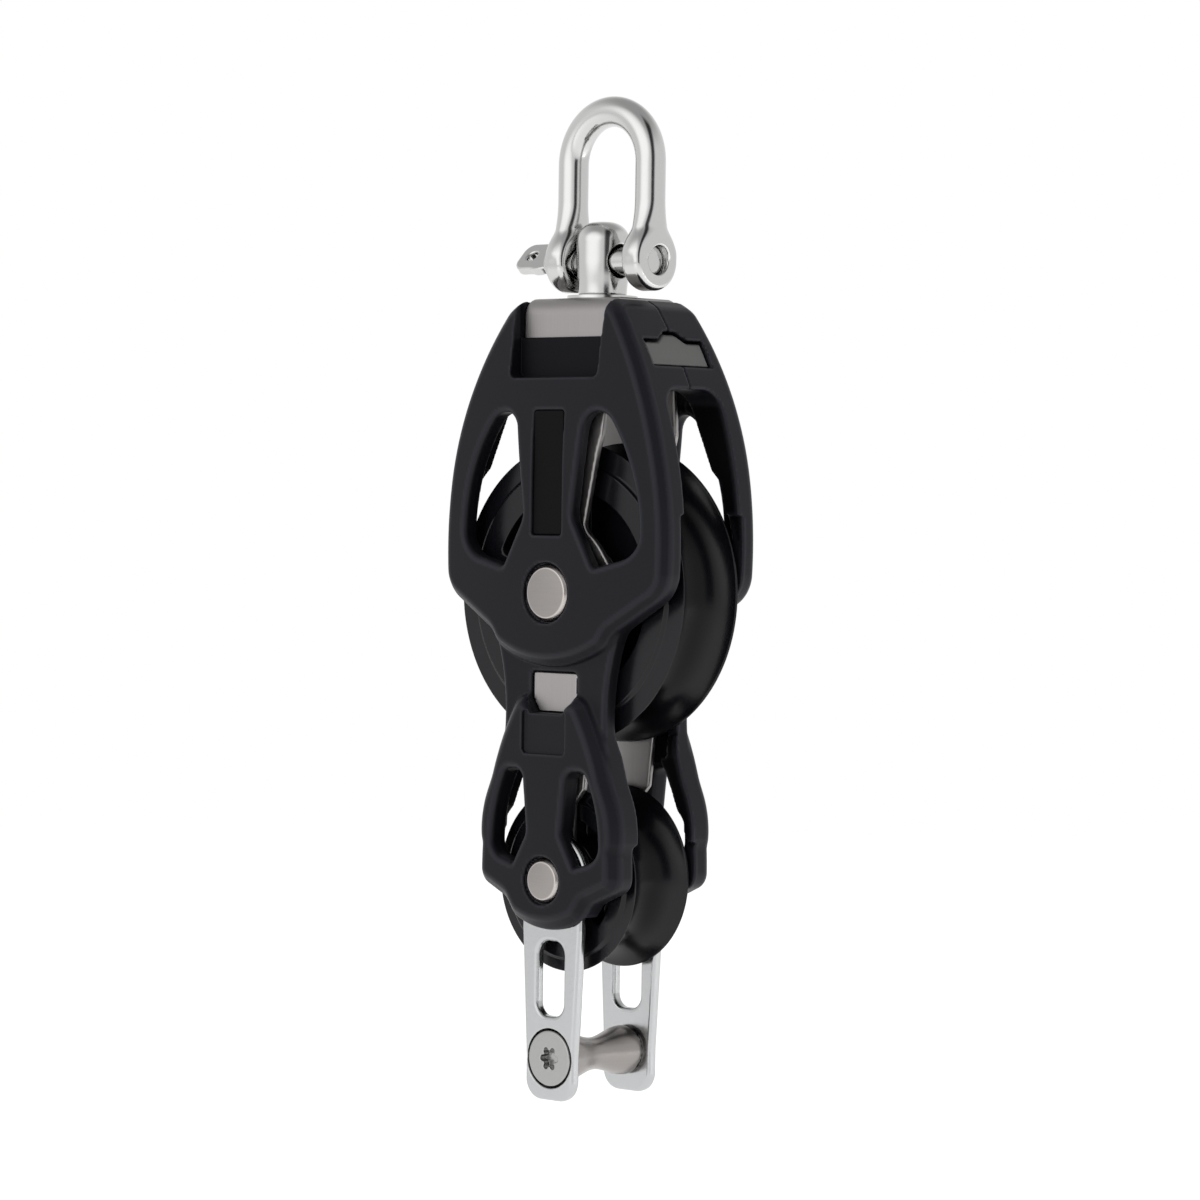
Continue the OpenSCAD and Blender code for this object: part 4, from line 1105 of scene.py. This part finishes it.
def set_world(stage, forward, side):
    """White all round; glossy surfaces also show a dark strip behind the camera, a grey top, and
    the soft glow of the key lamp. Where each of them begins and ends is given as the cosine of
    the angle from its middle."""
    world = bpy.data.worlds.new("Studio")
    bpy.context.scene.world = world
    world.use_nodes = True
    nodes, links = world.node_tree.nodes, world.node_tree.links
    nodes.clear()
    place = nodes.new("ShaderNodeTexCoord").outputs["Generated"]
    rays = nodes.new("ShaderNodeLightPath").outputs
    behind = step_up(nodes, links, dot(nodes, links, place, -forward), 0.1, 0.45)
    off_strip = calc(nodes, links, "SUBTRACT", dot(nodes, links, place, side), stage.strip_at)
    strip = step_up(nodes, links, calc(nodes, links, "ABSOLUTE", off_strip), stage.strip_width, 0.1)
    shade = calc(nodes, links, "MULTIPLY", behind, strip)
    shade = calc(nodes, links, "MULTIPLY", shade, 1 - stage.dark)
    top = step_up(nodes, links, dot(nodes, links, place, Vector((0, 0, 1))), 0.35, 0.95)
    top = calc(nodes, links, "MULTIPLY", top, 1 - stage.top)
    level = calc(nodes, links, "MULTIPLY", calc(nodes, links, "SUBTRACT", 1, shade),
                 calc(nodes, links, "SUBTRACT", 1, top))
    glow_at = (side * -0.7 - forward * 0.65 + Vector((0, 0, 0.3))).normalized()
    glow = step_up(nodes, links, dot(nodes, links, place, glow_at), 0.72, 0.97)
    level = calc(nodes, links, "ADD", level, calc(nodes, links, "MULTIPLY", glow, stage.glow))
    level = calc(nodes, links, "MAXIMUM", level, rays["Is Camera Ray"])
    mirrored = calc(nodes, links, "MAXIMUM", rays["Is Glossy Ray"], rays["Is Transmission Ray"])
    seen = calc(nodes, links, "MAXIMUM", mirrored, rays["Is Camera Ray"])
    shown, around, mix, out = (nodes.new("ShaderNode" + kind) for kind in
                               ("Background", "Background", "MixShader", "OutputWorld"))
    shown.inputs["Color"].default_value = around.inputs["Color"].default_value = (1, 1, 1, 1)
    around.inputs["Strength"].default_value = stage.room
    links.new(level, shown.inputs["Strength"])
    links.new(seen, mix.inputs["Fac"])
    links.new(around.outputs["Background"], mix.inputs[1])
    links.new(shown.outputs["Background"], mix.inputs[2])
    links.new(mix.outputs["Shader"], out.inputs["Surface"])


def floor_material():
    """Pale and matte, and lifted to white for the camera and for mirrors where nothing shades it."""
    made = bpy.data.materials.new("Floor")
    made.use_nodes = True
    nodes, links = made.node_tree.nodes, made.node_tree.links
    nodes.clear()
    rays = nodes.new("ShaderNodeLightPath").outputs
    matte, glow, total, out = (nodes.new("ShaderNode" + kind) for kind in
                               ("BsdfDiffuse", "Emission", "AddShader", "OutputMaterial"))
    matte.inputs["Color"].default_value = (0.8, 0.8, 0.8, 1)
    mirrored = calc(nodes, links, "MAXIMUM", rays["Is Glossy Ray"], rays["Is Transmission Ray"])
    seen = calc(nodes, links, "MAXIMUM", mirrored, rays["Is Camera Ray"])
    links.new(calc(nodes, links, "MULTIPLY", seen, 0.75), glow.inputs["Strength"])
    links.new(matte.outputs["BSDF"], total.inputs[0])
    links.new(glow.outputs["Emission"], total.inputs[1])
    links.new(total.outputs["Shader"], out.inputs["Surface"])
    return made


class FIDDLE_OT_stage(bpy.types.Operator):
    """Sets up the camera, the lamps, the floor and the background"""
    bl_idname = "fiddle.stage"
    bl_label = "Stage"

    def execute(self, context):
        stage, scene = context.scene.fiddle_block.stage, context.scene
        az, el, roll = stage.azimuth, stage.elevation, stage.roll
        forward = Vector((-math.sin(az) * math.cos(el), math.cos(az) * math.cos(el), -math.sin(el)))
        right = Vector((math.cos(az), math.sin(az), 0))
        up = right.cross(forward)
        across = math.cos(roll) * right + math.sin(roll) * up
        upright = math.cos(roll) * up - math.sin(roll) * right
        target = Vector(BLOCK * MM)
        data = bpy.data.cameras.new("Camera")
        data.lens = stage.lens
        data.sensor_width = 36
        data.clip_start = 0.01
        data.clip_end = 20
        camera = bpy.data.objects.new("Camera", data)
        place = target - forward * stage.distance + across * stage.to_right - upright * stage.down
        turn = Matrix((across, upright, -forward)).transposed().to_4x4()
        camera.matrix_world = Matrix.Translation(place) @ turn
        scene.collection.objects.link(camera)
        scene.camera = camera
        flat = Vector((forward.x, forward.y, 0)).normalized()
        side = Vector((flat.y, -flat.x, 0))
        set_world(stage, forward, side)
        key_at = target - flat * 0.5 - side * 0.55 + Vector((0, 0, 0.3))
        side_at = target - flat * 0.2 + side * 0.75 + Vector((0, 0, 0.15))
        lamp("Key lamp", stage.key, (0.5, 0.7), key_at, target)
        lamp("Side lamp", stage.fill, (0.5, 0.7), side_at, target)
        mesh = bpy.data.meshes.new("Floor")
        low = CAD_BOX[0][2] - stage.floor_drop
        turns = [math.radians(a) for a in range(0, 360, 3)]
        ring = [(FLOOR_R * math.cos(a), FLOOR_R * math.sin(a), low) for a in turns]
        mesh.from_pydata(ring, [], [list(range(len(ring)))])
        mesh.materials.append(floor_material())
        floor = bpy.data.objects.new("Floor", mesh)
        scene.collection.objects.link(floor)
        scene.view_settings.view_transform = "Standard"
        return {"FINISHED"}


class FIDDLE_PG_block(bpy.types.PropertyGroup):
    """All settings of the fiddle block"""
    cheeks: PointerProperty(type=FIDDLE_PG_cheeks)
    sheaves: PointerProperty(type=FIDDLE_PG_sheaves)
    steel: PointerProperty(type=FIDDLE_PG_steel)
    shackle: PointerProperty(type=FIDDLE_PG_shackle)
    eye: PointerProperty(type=FIDDLE_PG_eye)
    colours: PointerProperty(type=FIDDLE_PG_colours)
    stage: PointerProperty(type=FIDDLE_PG_stage)


STEPS = (FIDDLE_OT_cheeks, FIDDLE_OT_labels, FIDDLE_OT_lock, FIDDLE_OT_strap, FIDDLE_OT_sheaves,
         FIDDLE_OT_axles, FIDDLE_OT_becket, FIDDLE_OT_shackle, FIDDLE_OT_swivel, FIDDLE_OT_stage)
GROUPS = (FIDDLE_PG_cheeks, FIDDLE_PG_sheaves, FIDDLE_PG_steel, FIDDLE_PG_shackle, FIDDLE_PG_eye,
          FIDDLE_PG_colours, FIDDLE_PG_stage)


class FIDDLE_PT_panel(bpy.types.Panel):
    """The steps in order, and the settings of each group"""
    bl_idname = "FIDDLE_PT_panel"
    bl_label = "Fiddle block"
    bl_space_type = "VIEW_3D"
    bl_region_type = "UI"
    bl_category = "Fiddle block"

    def draw(self, context):
        for step in STEPS:
            self.layout.operator(step.bl_idname)
        settings = context.scene.fiddle_block
        for key in ("cheeks", "sheaves", "steel", "shackle", "eye", "colours", "stage"):
            group = getattr(settings, key)
            box = self.layout.box()
            box.label(text=key.capitalize())
            for name in group.bl_rna.properties.keys():
                if name not in ("rna_type", "name"):
                    box.prop(group, name)


CLASSES = GROUPS + (FIDDLE_PG_block,) + STEPS + (FIDDLE_PT_panel,)


def register():
    for cls in CLASSES:
        bpy.utils.register_class(cls)
    bpy.types.Scene.fiddle_block = PointerProperty(type=FIDDLE_PG_block)


def unregister():
    del bpy.types.Scene.fiddle_block
    for cls in reversed(CLASSES):
        bpy.utils.unregister_class(cls)


def main():
    """Builds everything."""
    register()
    for step in STEPS:
        name = step.bl_idname.split(".")[1]
        if getattr(bpy.ops.fiddle, name)() != {"FINISHED"}:
            raise RuntimeError(f"{step.bl_label} did not finish")


if __name__ == "__main__":
    main()
